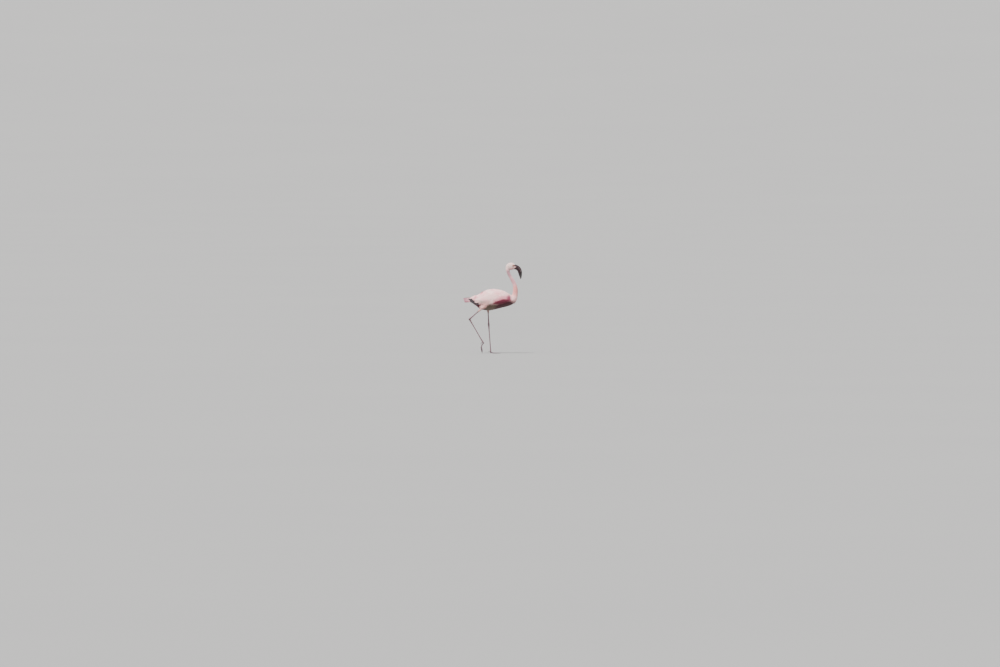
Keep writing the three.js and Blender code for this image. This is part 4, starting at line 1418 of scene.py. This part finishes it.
@dataclass
class Coat:
    """The contour feathers of the whole body, laid region by region."""

    plan: BodyPlan
    surface: SkinSurface
    palette: Palette
    seed: int = 11
    rear_part: float = -135 * MM
    stiff_part: float = -110 * MM
    rear_end: float = -172 * MM
    crease_height: float = 485 * MM
    rear_limit: float = -206 * MM
    rng: np.random.Generator = field(init=False)

    def __post_init__(self) -> None:
        """Seeds the small differences between feathers."""
        self.rng = np.random.default_rng(self.seed)

    def length_at(self, region: Region, points: np.ndarray) -> np.ndarray:
        """The length of the feathers at each place of a region.

        Args:
            region: the region.
            points: the places.

        Returns:
            The lengths in metres.
        """
        x, z = points[:, 0] / MM, points[:, 2] / MM
        if region is Region.HEAD:
            back = smooth_step(188, 135, x)
            return (3.6 + 4.2 * back) * MM
        if region is Region.NECK:
            return (7.6 + 9.0 * smooth_step(690, 520, z)) * MM
        if region is Region.TRUNK:
            breast = smooth_step(120, 205, x) * smooth_step(400, 500, z)
            return (25 - 8 * breast) * MM
        if region in (Region.WING_LEFT, Region.WING_RIGHT):
            rear = smooth_step(150, -60, x)
            top = smooth_step(455, 520, z)
            return (15 + 19 * rear + 12 * top * rear) * MM
        return (10 + 9 * smooth_step(360, 430, z)) * MM

    def loft_at(self, region: Region, points: np.ndarray) -> np.ndarray:
        """How far the feathers stand off the skin at their roots: most under the belly, where they are fluffy."""
        if region is not Region.TRUNK:
            return np.full(len(points), 0.2 * MM)
        x, z = points[:, 0] / MM, points[:, 2] / MM
        keel = 375 + 0.33 * np.clip(x - 10, 0, None) + 0.3 * np.clip(-60 - x, 0, None)
        below = smooth_step(45, 8, z - keel)
        return (0.2 + 6.5 * below * smooth_step(-130, -90, x)) * MM

    def direction_at(self, region: Region, points: np.ndarray) -> np.ndarray:
        """The way that the feathers lie at each place of a region.

        Args:
            region: the region.
            points: the places.

        Returns:
            One direction for each place.
        """
        along_body = self.plan.spine.flow(points, 14 * MM)
        if region in (Region.THIGH_LEFT, Region.THIGH_RIGHT):
            leg = self.plan.legs["left" if region is Region.THIGH_LEFT else "right"].flow(points, 12 * MM)
            share = smooth_step(440 * MM, 405 * MM, points[:, 2])[:, None]
            return unit(leg * share + along_body * (1 - share))
        if region in (Region.WING_LEFT, Region.WING_RIGHT):
            droop = smooth_step(560 * MM, 500 * MM, points[:, 2])
            way = np.stack([-np.ones(len(points)), np.zeros(len(points)), -0.28 * droop], axis=1)
            return unit(way)
        return along_body

    def bare_at(self, points: np.ndarray) -> np.ndarray:
        """Whether each place belongs to the bare face or to a bare leg."""
        bare_face = self.plan.bare_face(points) > 0.5
        left_leg = (points[:, 2] < 350 * MM) & (points[:, 0] > -75 * MM)
        right_way = (points - mm(-128, -46, 356)) @ unit(mm(-73, 0, -61))
        right_leg = (right_way > -3 * MM) & (points[:, 0] < -75 * MM) & (points[:, 2] < 375 * MM)
        return bare_face | left_leg | right_leg

    def roots(self, candidates: np.ndarray, radius: np.ndarray) -> np.ndarray:
        """Picks places that keep a distance from each other.

        Args:
            candidates: places in random order.
            radius: the distance that each keeps.

        Returns:
            The numbers of the picked places.
        """
        cell = float(radius.max())
        keys = np.floor(candidates / cell).astype(int)
        cells: dict[tuple[int, int, int], list[int]] = {}
        kept: list[int] = []
        around = [(i, j, k) for i in (-1, 0, 1) for j in (-1, 0, 1) for k in (-1, 0, 1)]
        rows = candidates.tolist()
        limits = (radius**2).tolist()
        for number, (a, b, c) in enumerate(keys.tolist()):
            x, y, z = rows[number]
            limit = limits[number]
            free = True
            for i, j, k in around:
                for other in cells.get((a + i, b + j, c + k), ()):
                    p, q, r = rows[other]
                    if (x - p) ** 2 + (y - q) ** 2 + (z - r) ** 2 < limit:
                        free = False
                        break
                if not free:
                    break
            if free:
                cells.setdefault((a, b, c), []).append(number)
                kept.append(number)
        return np.array(kept, int)

    def scatter(self) -> dict[Region, np.ndarray]:
        """Spreads feather roots over the skin.

        Returns:
            The roots of each region.
        """
        mesh = self.surface.mesh
        points = coordinates(mesh)
        mesh.calc_loop_triangles()
        corners = np.empty(len(mesh.loop_triangles) * 3, np.int32)
        mesh.loop_triangles.foreach_get("vertices", corners)
        corners = corners.reshape(-1, 3)
        a, b, c = (points[corners[:, k]] for k in range(3))
        areas = np.linalg.norm(np.cross(b - a, c - a), axis=1) / 2
        centres = (a + b + c) / 3
        covered = ~self.bare_at(centres) & (centres[:, 2] > 330 * MM)
        outward = unit(np.cross(b - a, c - a))
        numbers = np.flatnonzero(covered)
        labels = np.array([REGION_OF_NODE.get(self.surface.node_at(p), Region.BARE).value for p in centres[numbers]])
        result: dict[Region, np.ndarray] = {}
        for region, tract in TRACTS.items():
            faces = numbers[labels == region.value]
            ways = self.direction_at(region, centres[faces])
            along_skin = np.sqrt(np.clip(1 - (ways * outward[faces]).sum(axis=1) ** 2, 0, 1))
            least = np.where(centres[faces][:, 0] < self.rear_part, 0.9, 0.6)
            nape = (centres[faces][:, 0] > 70 * MM) & (outward[faces][:, 2] > 0.2) & (region is Region.TRUNK)
            least[nape] = 0.25
            inward = -outward[faces][:, 1] * np.sign(centres[faces][:, 1])
            crease = (inward > 0.35) & (centres[faces][:, 2] > self.crease_height) & (centres[faces][:, 0] < 0)
            faces = faces[(along_skin > least) & (centres[faces][:, 0] > self.rear_end) & ~crease]
            lengths = self.length_at(region, centres[faces])
            radius = tract.spacing * lengths
            wanted = 9 * areas[faces] / radius**2
            total = int(wanted.sum())
            picks = self.rng.choice(faces, total, p=wanted / wanted.sum())
            u, v = self.rng.random(total), self.rng.random(total)
            flip = u + v > 1
            u[flip], v[flip] = 1 - u[flip], 1 - v[flip]
            spots = a[picks] + (b[picks] - a[picks]) * u[:, None] + (c[picks] - a[picks]) * v[:, None]
            kept = self.roots(spots, tract.spacing * self.length_at(region, spots))
            result[region] = spots[kept]
            LOG.info("%s: %d feathers from %d places", region.value, len(kept), total)
        return result

    def lay(self, name: str, region: Region, roots: np.ndarray) -> bpy.types.Object:
        """Lays the feathers of one piece.

        Args:
            name: the piece's name.
            region: the region whose sizes they take.
            roots: their roots.

        Returns:
            The finished piece.
        """
        tract = TRACTS[region]
        lengths = self.length_at(region, roots) * self.rng.uniform(0.88, 1.12, len(roots))
        room = np.maximum(roots[:, 0] - self.rear_limit, 12 * MM)
        lengths = np.minimum(lengths, room)
        jitter = self.rng.normal(0, 0.08, (len(roots), 3))
        feathers = Feathers(
            roots=roots,
            directions=unit(self.direction_at(region, roots) + jitter),
            lengths=lengths,
            widths=lengths * tract.width,
            lifts=lengths * tract.lift * self.rng.uniform(0.8, 1.2, len(roots)),
            start_lifts=self.loft_at(region, roots),
            stiff=roots[:, 0] < self.stiff_part,
        )
        piece = lay_vanes(name, feathers, tract.shape, self.surface, self.plan.spine, self.rng)
        return self.dress(piece)

    def dress(self, piece: bpy.types.Object) -> bpy.types.Object:
        """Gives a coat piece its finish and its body."""
        material = bpy.data.materials.get("plumage_soft") or PlumageFinish("plumage_soft").build(self.palette)
        piece.data.materials.append(material)
        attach(piece, BODY)
        return piece

    def build(self) -> list[bpy.types.Object]:
        """Builds every piece of the contour coat."""
        spots = self.scatter()
        pieces = []
        neck = spots[Region.NECK]
        split = 640 * MM
        trunk = spots[Region.TRUNK]
        front = trunk[:, 0] > 60 * MM
        above = trunk[:, 2] > 470 * MM
        jobs = [
            ("coat_head", Region.HEAD, spots[Region.HEAD]),
            ("coat_neck_upper", Region.NECK, neck[neck[:, 2] > split]),
            ("coat_neck_lower", Region.NECK, neck[neck[:, 2] <= split]),
            ("coat_breast", Region.TRUNK, trunk[front]),
            ("coat_back", Region.TRUNK, trunk[~front & above]),
            ("coat_belly", Region.TRUNK, trunk[~front & ~above]),
            ("coat_wing_left", Region.WING_LEFT, spots[Region.WING_LEFT]),
            ("coat_wing_right", Region.WING_RIGHT, spots[Region.WING_RIGHT]),
            ("coat_thigh_left", Region.THIGH_LEFT, spots[Region.THIGH_LEFT]),
            ("coat_thigh_right", Region.THIGH_RIGHT, spots[Region.THIGH_RIGHT]),
        ]
        for name, region, roots in jobs:
            if len(roots):
                pieces.append(self.lay(name, region, roots))
        return pieces


# Quills ------------------------------------------------------------------------------------------------------


@dataclass(frozen=True)
class PlumeRow:
    """A row of long plumes on the side of the wing, in millimetres of the side view."""

    start: tuple[float, float]
    end: tuple[float, float]
    length: float
    droop: float
    count: int


@dataclass
class Quills:
    """The black flight feathers, the long plumes over them and the fan of the tail."""

    plan: BodyPlan
    surface: SkinSurface
    palette: Palette
    seed: int = 23
    primary_tips: tuple[tuple[float, float], ...] = (
        (-217, 466), (-212, 456), (-204, 447), (-195, 439), (-185, 432), (-174, 426), (-162, 421), (-149, 417),
        (-136, 415),
    )
    tail_feathers: int = 12
    plume_rows: tuple[PlumeRow, ...] = (
        PlumeRow((70, 514), (-58, 516), 70, -0.2, 11),
        PlumeRow((50, 499), (-78, 501), 78, -0.17, 11),
        PlumeRow((20, 482), (-96, 489), 84, -0.1, 11),
        PlumeRow((-10, 466), (-110, 477), 84, -0.05, 10),
        PlumeRow((-60, 473), (-136, 477), 66, -0.1, 10),
        PlumeRow((-70, 460), (-146, 469), 60, -0.02, 10),
    )
    covert_rows: tuple[PlumeRow, ...] = (
        PlumeRow((-60, 420), (-134, 436), 50, 0.12, 8),
        PlumeRow((-56, 408), (-136, 426), 50, 0.16, 9),
        PlumeRow((-52, 396), (-136, 416), 48, 0.2, 9),
        PlumeRow((-48, 386), (-132, 406), 46, 0.24, 9),
    )
    rear_limit: float = -206 * MM
    side_facing: float = 0.4

    def flat_vanes(
        self, name: str, spines: np.ndarray, widths: np.ndarray, ups: np.ndarray, shape: VaneShape
    ) -> bpy.types.Object:
        """Builds large quills along given spines, free of the skin.

        Args:
            name: the piece's name.
            spines: for each quill a row of points from its root to its tip.
            widths: the full width of each quill.
            ups: the direction that each quill's outer face looks.
            shape: the outline and the faces.

        Returns:
            The piece, with its maps and attributes.
        """
        rng = np.random.default_rng(self.seed + len(name))
        flat = StraightSurface(spines, ups)
        lengths = np.linalg.norm(np.diff(spines, axis=1), axis=2).sum(axis=1)
        feathers = Feathers(
            roots=spines[:, 0],
            directions=unit(spines[:, 1] - spines[:, 0]),
            lengths=lengths,
            widths=widths,
            lifts=np.zeros(len(widths)),
            start_lifts=0.0,
        )
        return flat.lay(name, feathers, shape, self.plan.spine, rng)

    def primaries(self, side: int) -> bpy.types.Object:
        """The black tips that show below the folded wing.

        Args:
            side: 1 for the left wing and -1 for the right one.

        Returns:
            The piece.
        """
        label = "left" if side > 0 else "right"
        low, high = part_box("flight_feathers_" + label)
        outer = max(abs(low.y), abs(high.y))
        spines = []
        widths = []
        ups = []
        tips = len(self.primary_tips)
        for number, (x, z) in enumerate(self.primary_tips):
            share = number / (tips - 1)
            tip = mm(x, 0, z)
            root = mm(-38 + 26 * share, 0, 452 - 10 * share)
            tip[1] = side * (0.012 + 0.030 * share)
            root[1] = side * (outer * 0.80 + 0.0006 * number)
            middle = (root + tip) / 2 + mm(0, 0, 3.0)
            middle[1] = side * (outer * (0.74 + 0.1 * share) + 0.0004 * number)
            u = np.linspace(0, 1, 17)[:, None]
            spines.append(root * (1 - u) ** 2 + 2 * middle * u * (1 - u) + tip * u**2)
            widths.append(21 * MM)
            ups.append((0.0, side * 1.0, 0.12))
        piece = self.flat_vanes(
            "quills_" + label, np.array(spines), np.array(widths), unit(np.array(ups)), QUILL_VANE
        )
        piece.data.materials.append(
            bpy.data.materials.get("flight_black")
            or FlightFinish("flight_black", "231A1C", "453639", "62525A").build(self.palette)
        )
        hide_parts("flight_feathers_" + label)
        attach(piece, BODY)
        return piece

    def rows(
        self, name: str, side: int, plume_rows: tuple[PlumeRow, ...], width: float, base: float, lift: float
    ) -> bpy.types.Object:
        """Rows of long feathers on one side of the body.

        Args:
            name: the piece's name, without its side.
            side: 1 for the left side and -1 for the right one.
            plume_rows: where the rows stand.
            width: the feathers' width as a share of their length.
            base: the width that is added to that, in millimetres.
            lift: how far their roots stand off the skin, in millimetres.

        Returns:
            The piece.
        """
        name = name + ("_left" if side > 0 else "_right")
        rng = np.random.default_rng(self.seed + side)
        roots = []
        ways = []
        lengths = []
        for row in plume_rows:
            share = np.linspace(0, 1, row.count)
            x = row.start[0] + (row.end[0] - row.start[0]) * share + rng.uniform(-3, 3, row.count)
            z = row.start[1] + (row.end[1] - row.start[1]) * share + rng.uniform(-2, 2, row.count)
            for k in range(row.count):
                aim = Vector((x[k] * MM, side * 0.3, z[k] * MM))
                hit, bump, _, _ = self.surface.tree.ray_cast(aim, Vector((0, -side, 0)))
                if hit is None or bump.y * side < self.side_facing:
                    continue
                roots.append(tuple(hit))
                ways.append((-1.0, 0.0, row.droop + rng.uniform(-0.04, 0.04)))
                room = hit.x - self.rear_limit
                lengths.append(min(row.length * MM * rng.uniform(0.9, 1.1), room))
        lengths = np.array(lengths)
        feathers = Feathers(
            roots=np.array(roots),
            directions=unit(np.array(ways)),
            lengths=lengths,
            widths=lengths * width + base * MM,
            lifts=np.full(len(roots), 2.2 * MM),
            start_lifts=lift * MM,
            stiff=True,
        )
        piece = lay_vanes(name, feathers, PLUME_VANE, self.surface, self.plan.spine, rng)
        piece.data.materials.append(bpy.data.materials["plumage_soft"])
        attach(piece, BODY)
        return piece

    def tail(self) -> bpy.types.Object:
        """The short fan of the tail."""
        low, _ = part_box("tail")
        spines = []
        widths = []
        ups = []
        for number in range(self.tail_feathers):
            side = -1 if number % 2 else 1
            share = (number // 2 + 0.5) / (self.tail_feathers / 2)
            root = np.array([low.x + 92 * MM, side * (3 + 8 * share) * MM, (474 - 18 * share) * MM])
            tip = np.array([low.x + (14 * share - 7) * MM, side * (4 + 27 * share) * MM, (473 - 41 * share) * MM])
            middle = (root + tip) / 2 + mm(0, side * 4 * share, 5)
            u = np.linspace(0, 1, 17)[:, None]
            spines.append(root * (1 - u) ** 2 + 2 * middle * u * (1 - u) + tip * u**2)
            widths.append(22 * MM)
            ups.append((0.1, side * (0.7 + 0.8 * share), 0.9 - 0.55 * share))
        piece = self.flat_vanes("tail_fan", np.array(spines), np.array(widths), unit(np.array(ups)), QUILL_VANE)
        piece.data.materials.append(
            FlightFinish("tail_rose", "7A3547", "CC989E", "A8737D", (0.3, 0.9)).build(self.palette)
        )
        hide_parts("tail")
        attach(piece, BODY)
        return piece

    def build(self) -> list[bpy.types.Object]:
        """Builds both wings' quills and plumes, the coverts under the tail, and the tail."""
        pieces = [self.tail()]
        for _, side in SIDES:
            pieces.append(self.primaries(side))
            pieces.append(self.rows("plumes", side, self.plume_rows, 0.10, 8, 1.6))
            pieces.append(self.rows("coverts", side, self.covert_rows, 0.2, 8, 4.0))
        return pieces


@dataclass
class StraightSurface:
    """Lays quills along their own spines in place of the skin."""

    spines: np.ndarray
    ups: np.ndarray

    def lay(
        self, name: str, feathers: Feathers, shape: VaneShape, line: Line, rng: np.random.Generator
    ) -> bpy.types.Object:
        """Builds the quills as one joined mesh through a ribbon of the skin's kind for each.

        Args:
            name: the piece's name.
            feathers: the quills' sizes.
            shape: their outline and faces.
            line: the line that the bake map is rolled out from.
            rng: the seeded source of small differences.

        Returns:
            The piece.
        """
        vertices: list[tuple[float, ...]] = []
        faces: list[tuple[int, ...]] = []
        meshes = []
        for spine, up, width in zip(self.spines, self.ups, feathers.widths):
            tangents = unit(np.gradient(spine, axis=0))
            sides = unit(np.cross(tangents, up[None, :]))
            half = width * 0.5
            vertices.clear()
            faces.clear()
            longer = np.concatenate([spine, spine[-1:] + tangents[-1:] * half])
            sides = np.concatenate([sides, sides[-1:]])
            for k, (point, side) in enumerate(zip(longer, sides)):
                vertices.extend([tuple(point - side * half * 2), tuple(point + side * half * 2)])
                if k:
                    faces.append((2 * k - 2, 2 * k - 1, 2 * k + 1, 2 * k))
            meshes.append(BVHTree.FromPolygons(vertices, faces))
        parts = []
        for number, tree in enumerate(meshes):
            one = Feathers(
                roots=feathers.roots[number : number + 1],
                directions=feathers.directions[number : number + 1],
                lengths=feathers.lengths[number : number + 1],
                widths=feathers.widths[number : number + 1],
                lifts=feathers.lifts[number : number + 1],
                start_lifts=feathers.start_lifts,
            )
            parts.append(lay_vanes(name + "_part", one, shape, TreeOnly(tree), line, rng))
        piece = joined(name, parts)
        write_bake_map(piece.data, line)
        return piece


@dataclass
class TreeOnly:
    """A bare search tree in the place of the skin's surface."""

    tree: BVHTree


def joined(name: str, parts: list[bpy.types.Object]) -> bpy.types.Object:
    """Joins pieces that carry the same maps into one object.

    Args:
        name: the joined piece's name.
        parts: the pieces, which are used up.

    Returns:
        The joined piece.
    """
    with bpy.context.temp_override(active_object=parts[0], selected_editable_objects=parts):
        bpy.ops.object.join()
    piece = parts[0]
    piece.name = name
    piece.data.name = name
    return piece


# Bill, eyes and claws ----------------------------------------------------------------------------------------


@dataclass
class Bill:
    """The two mandibles, drawn along one smooth curve and parted by the line of the mouth."""

    curve: tuple[tuple[float, float], ...] = (
        (171.9, 748), (188.9, 744.5), (207.9, 737.5), (222.9, 724.5), (231.9, 705), (235.9, 683), (238.4, 661),
        (239.4, 640),
    )
    shares: tuple[float, ...] = (0, 0.13, 0.29, 0.45, 0.6, 0.74, 0.87, 0.95, 1)
    half_heights: tuple[float, ...] = (21.5, 20.8, 20, 18.8, 16.8, 13.6, 9, 5.6, 3.4)
    half_widths: tuple[float, ...] = (11.5, 11.5, 11.1, 10.5, 9.7, 8.5, 6.9, 4.7, 3.0)
    mouth: tuple[tuple[float, float], ...] = ((0, 0.3), (0.3, 0.36), (0.6, 0.36), (0.85, 0.1), (1, -0.1))
    face: tuple[tuple[float, float], tuple[float, float]] = ((191.9, 766), (179.9, 722))
    inside: float = 3.0 * MM
    gap: float = 0.5 * MM
    rows: int = 170
    around: int = 61
    across: int = 11
    groove: float = 0.6 * MM
    nostril_at: float = 0.13
    nostril_half: float = 0.055
    nostril_depth: float = 1.5 * MM
    bend: tuple[float, float, float] = (224, 0, 722)

    def places(self, share: np.ndarray, turn: np.ndarray, chord: np.ndarray, upper: bool) -> tuple[np.ndarray, ...]:
        """The surface of one mandible.

        Args:
            share: the way along the bill, from 0 to 1, for each vertex.
            turn: the way round the outside, from -1 to 1, for each column of the outside.
            chord: the way across the inside, from -1 to 1, for each column of the inside.
            upper: whether it is the upper mandible.

        Returns:
            The places, and for each the angle from the middle of the outside, as a share of the outside.
        """
        fine = np.linspace(0, 1, 400)
        line = smooth_path(np.array(self.curve, float) * MM, 400)
        heading = unit(np.gradient(line, axis=0))
        normal = np.stack([-heading[:, 1], heading[:, 0]], axis=1)
        heights = smooth_curve(np.array(self.shares), np.array(self.half_heights) * MM, fine)
        widths = smooth_curve(np.array(self.shares), np.array(self.half_widths) * MM, fine)
        lip = smooth_curve(np.array(self.mouth)[:, 0], np.array(self.mouth)[:, 1], fine)
        end = np.sqrt(np.clip(1 - (np.clip(fine - 0.97, 0, 1) / 0.03) ** 2, 0.0004, 1))

        def at(values: np.ndarray) -> np.ndarray:
            """The values at each vertex's share."""
            return np.interp(share, fine, values)

        lips = at(lip)
        edge = np.arccos(lips)
        outside = share[:, : len(turn)].shape[1]
        angle = turn * edge[:, :outside] if upper else math.pi + turn * (math.pi - edge[:, :outside])
        rise = np.concatenate([np.cos(angle), lips[:, outside:]], axis=1)
        side = np.concatenate([np.sin(angle), chord * np.sin(edge[:, outside:])], axis=1)
        half_gap = (0.5 if upper else -0.5) * self.gap
        height = at(heights * end)
        width = at(widths * end)
        place = np.stack(
            [
                at(line[:, 0]) + at(normal[:, 0]) * (rise * height + half_gap),
                side * width,
                at(line[:, 1]) + at(normal[:, 1]) * (rise * height + half_gap),
            ],
            axis=2,
        )
        return place, np.concatenate([np.abs(turn), np.ones(len(chord))])

    def mandible(self, name: str) -> bpy.types.Object:
        """Builds one mandible.

        Args:
            name: the node that it replaces.

        Returns:
            The piece.
        """
        upper = name == "bill_upper"
        turn = np.sin(np.linspace(-math.pi / 2, math.pi / 2, self.around))
        chord = np.sin(np.linspace(math.pi / 2, -math.pi / 2, self.across + 2))[1:-1] * (1 if upper else -1)
        columns = len(turn) + len(chord)
        trial = np.tile(np.linspace(0, 0.4, 200)[:, None], (1, columns))
        place, _ = self.places(trial, turn, chord, upper)
        top, bottom = (mm(a, 0, b) for a, b in self.face)
        forward = unit(np.cross(mm(0, 1, 0), top - bottom))
        ahead = (place - top) @ forward
        first = np.array([np.interp(-self.inside, ahead[:, k], trial[:, k]) for k in range(columns)])
        u = np.linspace(0, 1, self.rows)[:, None]
        share = first[None] + (1 - first[None]) * u
        place, off_middle = self.places(share, turn, chord, upper)
        cut = np.zeros((self.rows, columns))
        dark = np.zeros((self.rows, columns))
        if upper:
            line = np.exp(-(((off_middle[None] - 0.74) / 0.06) ** 2)) * np.ones_like(cut)
            run = smooth_step(0.02, 0.08, u) * smooth_step(0.8, 0.55, u)
            slit = np.exp(-(((off_middle[None] - 0.74) / 0.03) ** 2))
            slit = slit * np.exp(-(((u - self.nostril_at) / self.nostril_half) ** 4))
            cut = self.groove * line * run + self.nostril_depth * slit
            # Darker along the culmen, which is the horn's own colour, and painted shade in the nostril slit.
            dark = np.maximum(slit, 0.75 * smooth_step(0.45, 0.2, off_middle)[None] * np.ones_like(cut))
        rings = np.arange(self.rows * columns).reshape(self.rows, columns)
        quads = np.stack(
            [rings[:-1], np.roll(rings[:-1], -1, axis=1), np.roll(rings[1:], -1, axis=1), rings[1:]], axis=2
        ).reshape(-1, 4)
        mesh = bpy.data.meshes.new(name)
        faces = quads.tolist() + [rings[0].tolist(), rings[-1].tolist()]
        mesh.from_pydata(place.reshape(-1, 3).tolist(), [], faces)
        bm = bmesh.new()
        bm.from_mesh(mesh)
        bmesh.ops.recalc_face_normals(bm, faces=bm.faces)
        mesh = mesh_from(bm, name)
        set_coordinates(mesh, coordinates(mesh) - normals(mesh) * cut.reshape(-1, 1))
        layer = mesh.attributes.new("ridge_and_nostril_shade", "FLOAT", "POINT")
        layer.data.foreach_set("value", dark.ravel().astype(np.float32))
        piece = new_piece(name + "_horn", mesh)
        material = bpy.data.materials.get("bill_horn") or BillFinish("bill_horn").build(mm(*self.bend))
        mesh.materials.append(material)
        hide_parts(name)
        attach(piece, BODY)
        return piece

    def build(self) -> list[bpy.types.Object]:
        """Builds both mandibles."""
        return [self.mandible("bill_upper"), self.mandible("bill_lower")]


@dataclass
class Eyes:
    """Both eyeballs, set under the lids."""

    plan: BodyPlan
    axis: Vector

    def eyeball(self, label: str, side: int) -> bpy.types.Object:
        """Builds one eyeball with the bulge of its cornea.

        Args:
            label: left or right.
            side: 1 for the left eye and -1 for the right one.

        Returns:
            The piece.
        """
        centre = self.plan.eye_left if side > 0 else self.plan.eye_right
        axis = Vector((self.axis.x, side * self.axis.y, self.axis.z))
        radius = self.plan.eye_radius
        bm = bmesh.new()
        bmesh.ops.create_uvsphere(bm, u_segments=40, v_segments=28, radius=radius)
        for vertex in bm.verts:
            if vertex.co.z > radius * 0.72:
                vertex.co.z += 0.35 * (vertex.co.z - radius * 0.72)
        bmesh.ops.rotate(bm, verts=bm.verts, cent=(0, 0, 0), matrix=axis.to_track_quat("Z", "Y").to_matrix())
        bmesh.ops.translate(bm, verts=bm.verts, vec=centre)
        piece = new_piece("eyeball_" + label, mesh_from(bm, "eyeball"))
        material = bpy.data.materials.get("eye_amber") or EyeFinish().build(self.plan, self.axis)
        piece.data.materials.append(material)
        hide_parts("eye_" + label)
        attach(piece, BODY)
        return piece

    def build(self) -> list[bpy.types.Object]:
        """Builds both eyes."""
        return [self.eyeball(label, side) for label, side in SIDES]


@dataclass
class Claws:
    """The eight claws, refined from their solids."""

    voxel: float = 0.4 * MM
    hold: float = 2.0 * MM

    def rooted(self, mesh: bpy.types.Mesh, name: str) -> bpy.types.Mesh:
        """Draws the base of a claw on into its toe.

        Args:
            mesh: the claw.
            name: the claw's node.

        Returns:
            The same mesh.
        """
        side = "left" if "left" in name else "right"
        low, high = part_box("foot_" + side)
        points = coordinates(mesh)
        gaps = np.linalg.norm(points - np.array((low + high) / 2), axis=1)
        span = np.ptp(gaps)
        tip = points[gaps.argmax()]
        base = points[gaps < gaps.min() + 0.25 * span].mean(axis=0)
        way = unit(base - tip)
        share = smooth_step(-0.6 * span, 0, (points - base) @ way)
        set_coordinates(mesh, points + way * (share * self.hold)[:, None])
        return mesh

    def build(self) -> list[bpy.types.Object]:
        """Builds a smooth horn claw on each toe."""
        material = ClawFinish().build()
        pieces = []
        for name in sorted(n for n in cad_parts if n.startswith("claw_")):
            mesh = self.rooted(remeshed(mesh_from(copy_of_nodes([name]), name), self.voxel, 3), name)
            mesh.materials.clear()
            mesh.materials.append(material)
            piece = new_piece(name + "_horn", mesh)
            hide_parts(name)
            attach(piece, BODY)
            pieces.append(piece)
        return pieces


# The studio --------------------------------------------------------------------------------------------------


@dataclass(frozen=True)
class Studio:
    """A pale floor, soft light and the camera."""

    floor_radius: float = 112.0
    rim_width: float = 150.0
    rim_rise: float = 30.0
    camera_distance: float = 95.6
    camera_height: float = 2.02
    camera_shift_right: float = 0.061
    pitch: float = 1.108
    focal_length: float = 400.0
    sensor: float = 36.0

    def floor(self) -> bpy.types.Object:
        """A wide round floor whose rim curves up far away."""
        bm = bmesh.new()
        ring = bmesh.ops.create_circle(bm, cap_ends=True, segments=96, radius=self.floor_radius)
        edges = [e for e in bm.edges if e.is_boundary]
        steps = 14
        for k in range(steps):
            angle = (k + 1) / steps * math.pi / 2
            out = bmesh.ops.extrude_edge_only(bm, edges=edges)
            verts = [g for g in out["geom"] if isinstance(g, bmesh.types.BMVert)]
            edges = [g for g in out["geom"] if isinstance(g, bmesh.types.BMEdge)]
            radius = self.floor_radius + self.rim_width * math.sin(angle)
            height = self.rim_rise * (1 - math.cos(angle))
            for vertex in verts:
                flat = Vector((vertex.co.x, vertex.co.y, 0)).normalized() * radius
                vertex.co = Vector((flat.x, flat.y, height))
        bmesh.ops.recalc_face_normals(bm, faces=bm.faces)
        piece = new_piece("studio_floor", mesh_from(bm, "studio_floor"))
        material, nodes, shader = new_material("studio_pale", 0.9)
        here = nodes.add("ShaderNodeTexCoord").outputs["Object"]
        tint = nodes.mix(nodes.noise(here, 4.0), linear("8F8E8D"), linear("939290"))
        wire(nodes, shader, {"Base Color": tint, "Specular IOR Level": 0.1})
        piece.data.materials.append(material)
        return piece

    def light(self) -> None:
        """A soft key light from above, a fill and a pale sky."""
        for name, turn, energy, size in (
            ("key", (26, -16, 0), 7.4, 24.0),
            ("fill", (55, 20, 150), 0.9, 60.0),
        ):
            data = bpy.data.lights.new(name, "SUN")
            data.energy = energy
            data.angle = math.radians(size)
            lamp = bpy.data.objects.new(name, data)
            lamp.rotation_euler = [math.radians(a) for a in turn]
            bpy.context.scene.collection.objects.link(lamp)
        world = bpy.data.worlds.new("studio_sky")
        world.use_nodes = True
        sky = world.node_tree.nodes["Background"]
        sky.inputs["Color"].default_value = linear("F2F3F5")
        sky.inputs["Strength"].default_value = 0.9
        bpy.context.scene.world = world

    def camera(self) -> None:
        """The camera, far off at a low angle."""
        data = bpy.data.cameras.new("view")
        data.lens = self.focal_length
        data.sensor_width = self.sensor
        data.clip_start = 0.5
        data.clip_end = 600.0
        camera = bpy.data.objects.new("view", data)
        camera.location = (self.camera_shift_right, -self.camera_distance, self.camera_height)
        camera.rotation_euler = (math.radians(90 - self.pitch), 0, 0)
        bpy.context.scene.collection.objects.link(camera)
        bpy.context.scene.camera = camera

    def build(self) -> None:
        """Sets up floor, light and camera."""
        self.floor()
        self.light()
        self.camera()


def main() -> None:
    """Builds every sub-assembly in order and reports its pieces."""
    logging.basicConfig(level=logging.INFO, format="%(name)s: %(message)s", force=True)
    Studio().build()
    plan = BodyPlan()
    palette = Palette()
    skin = Skin(plan)
    skin_piece, surface = skin.build(palette)
    pieces = [skin_piece]
    pieces += Bill().build()
    pieces += Eyes(plan, skin.eye_axis).build()
    pieces += Claws().build()
    pieces += Coat(plan, surface, palette).build()
    pieces += Quills(plan, surface, palette).build()
    for piece in pieces:
        piece.data.calc_loop_triangles()
        LOG.info("%s: %d triangles", piece.name, len(piece.data.loop_triangles))


if __name__ == "__main__":
    main()
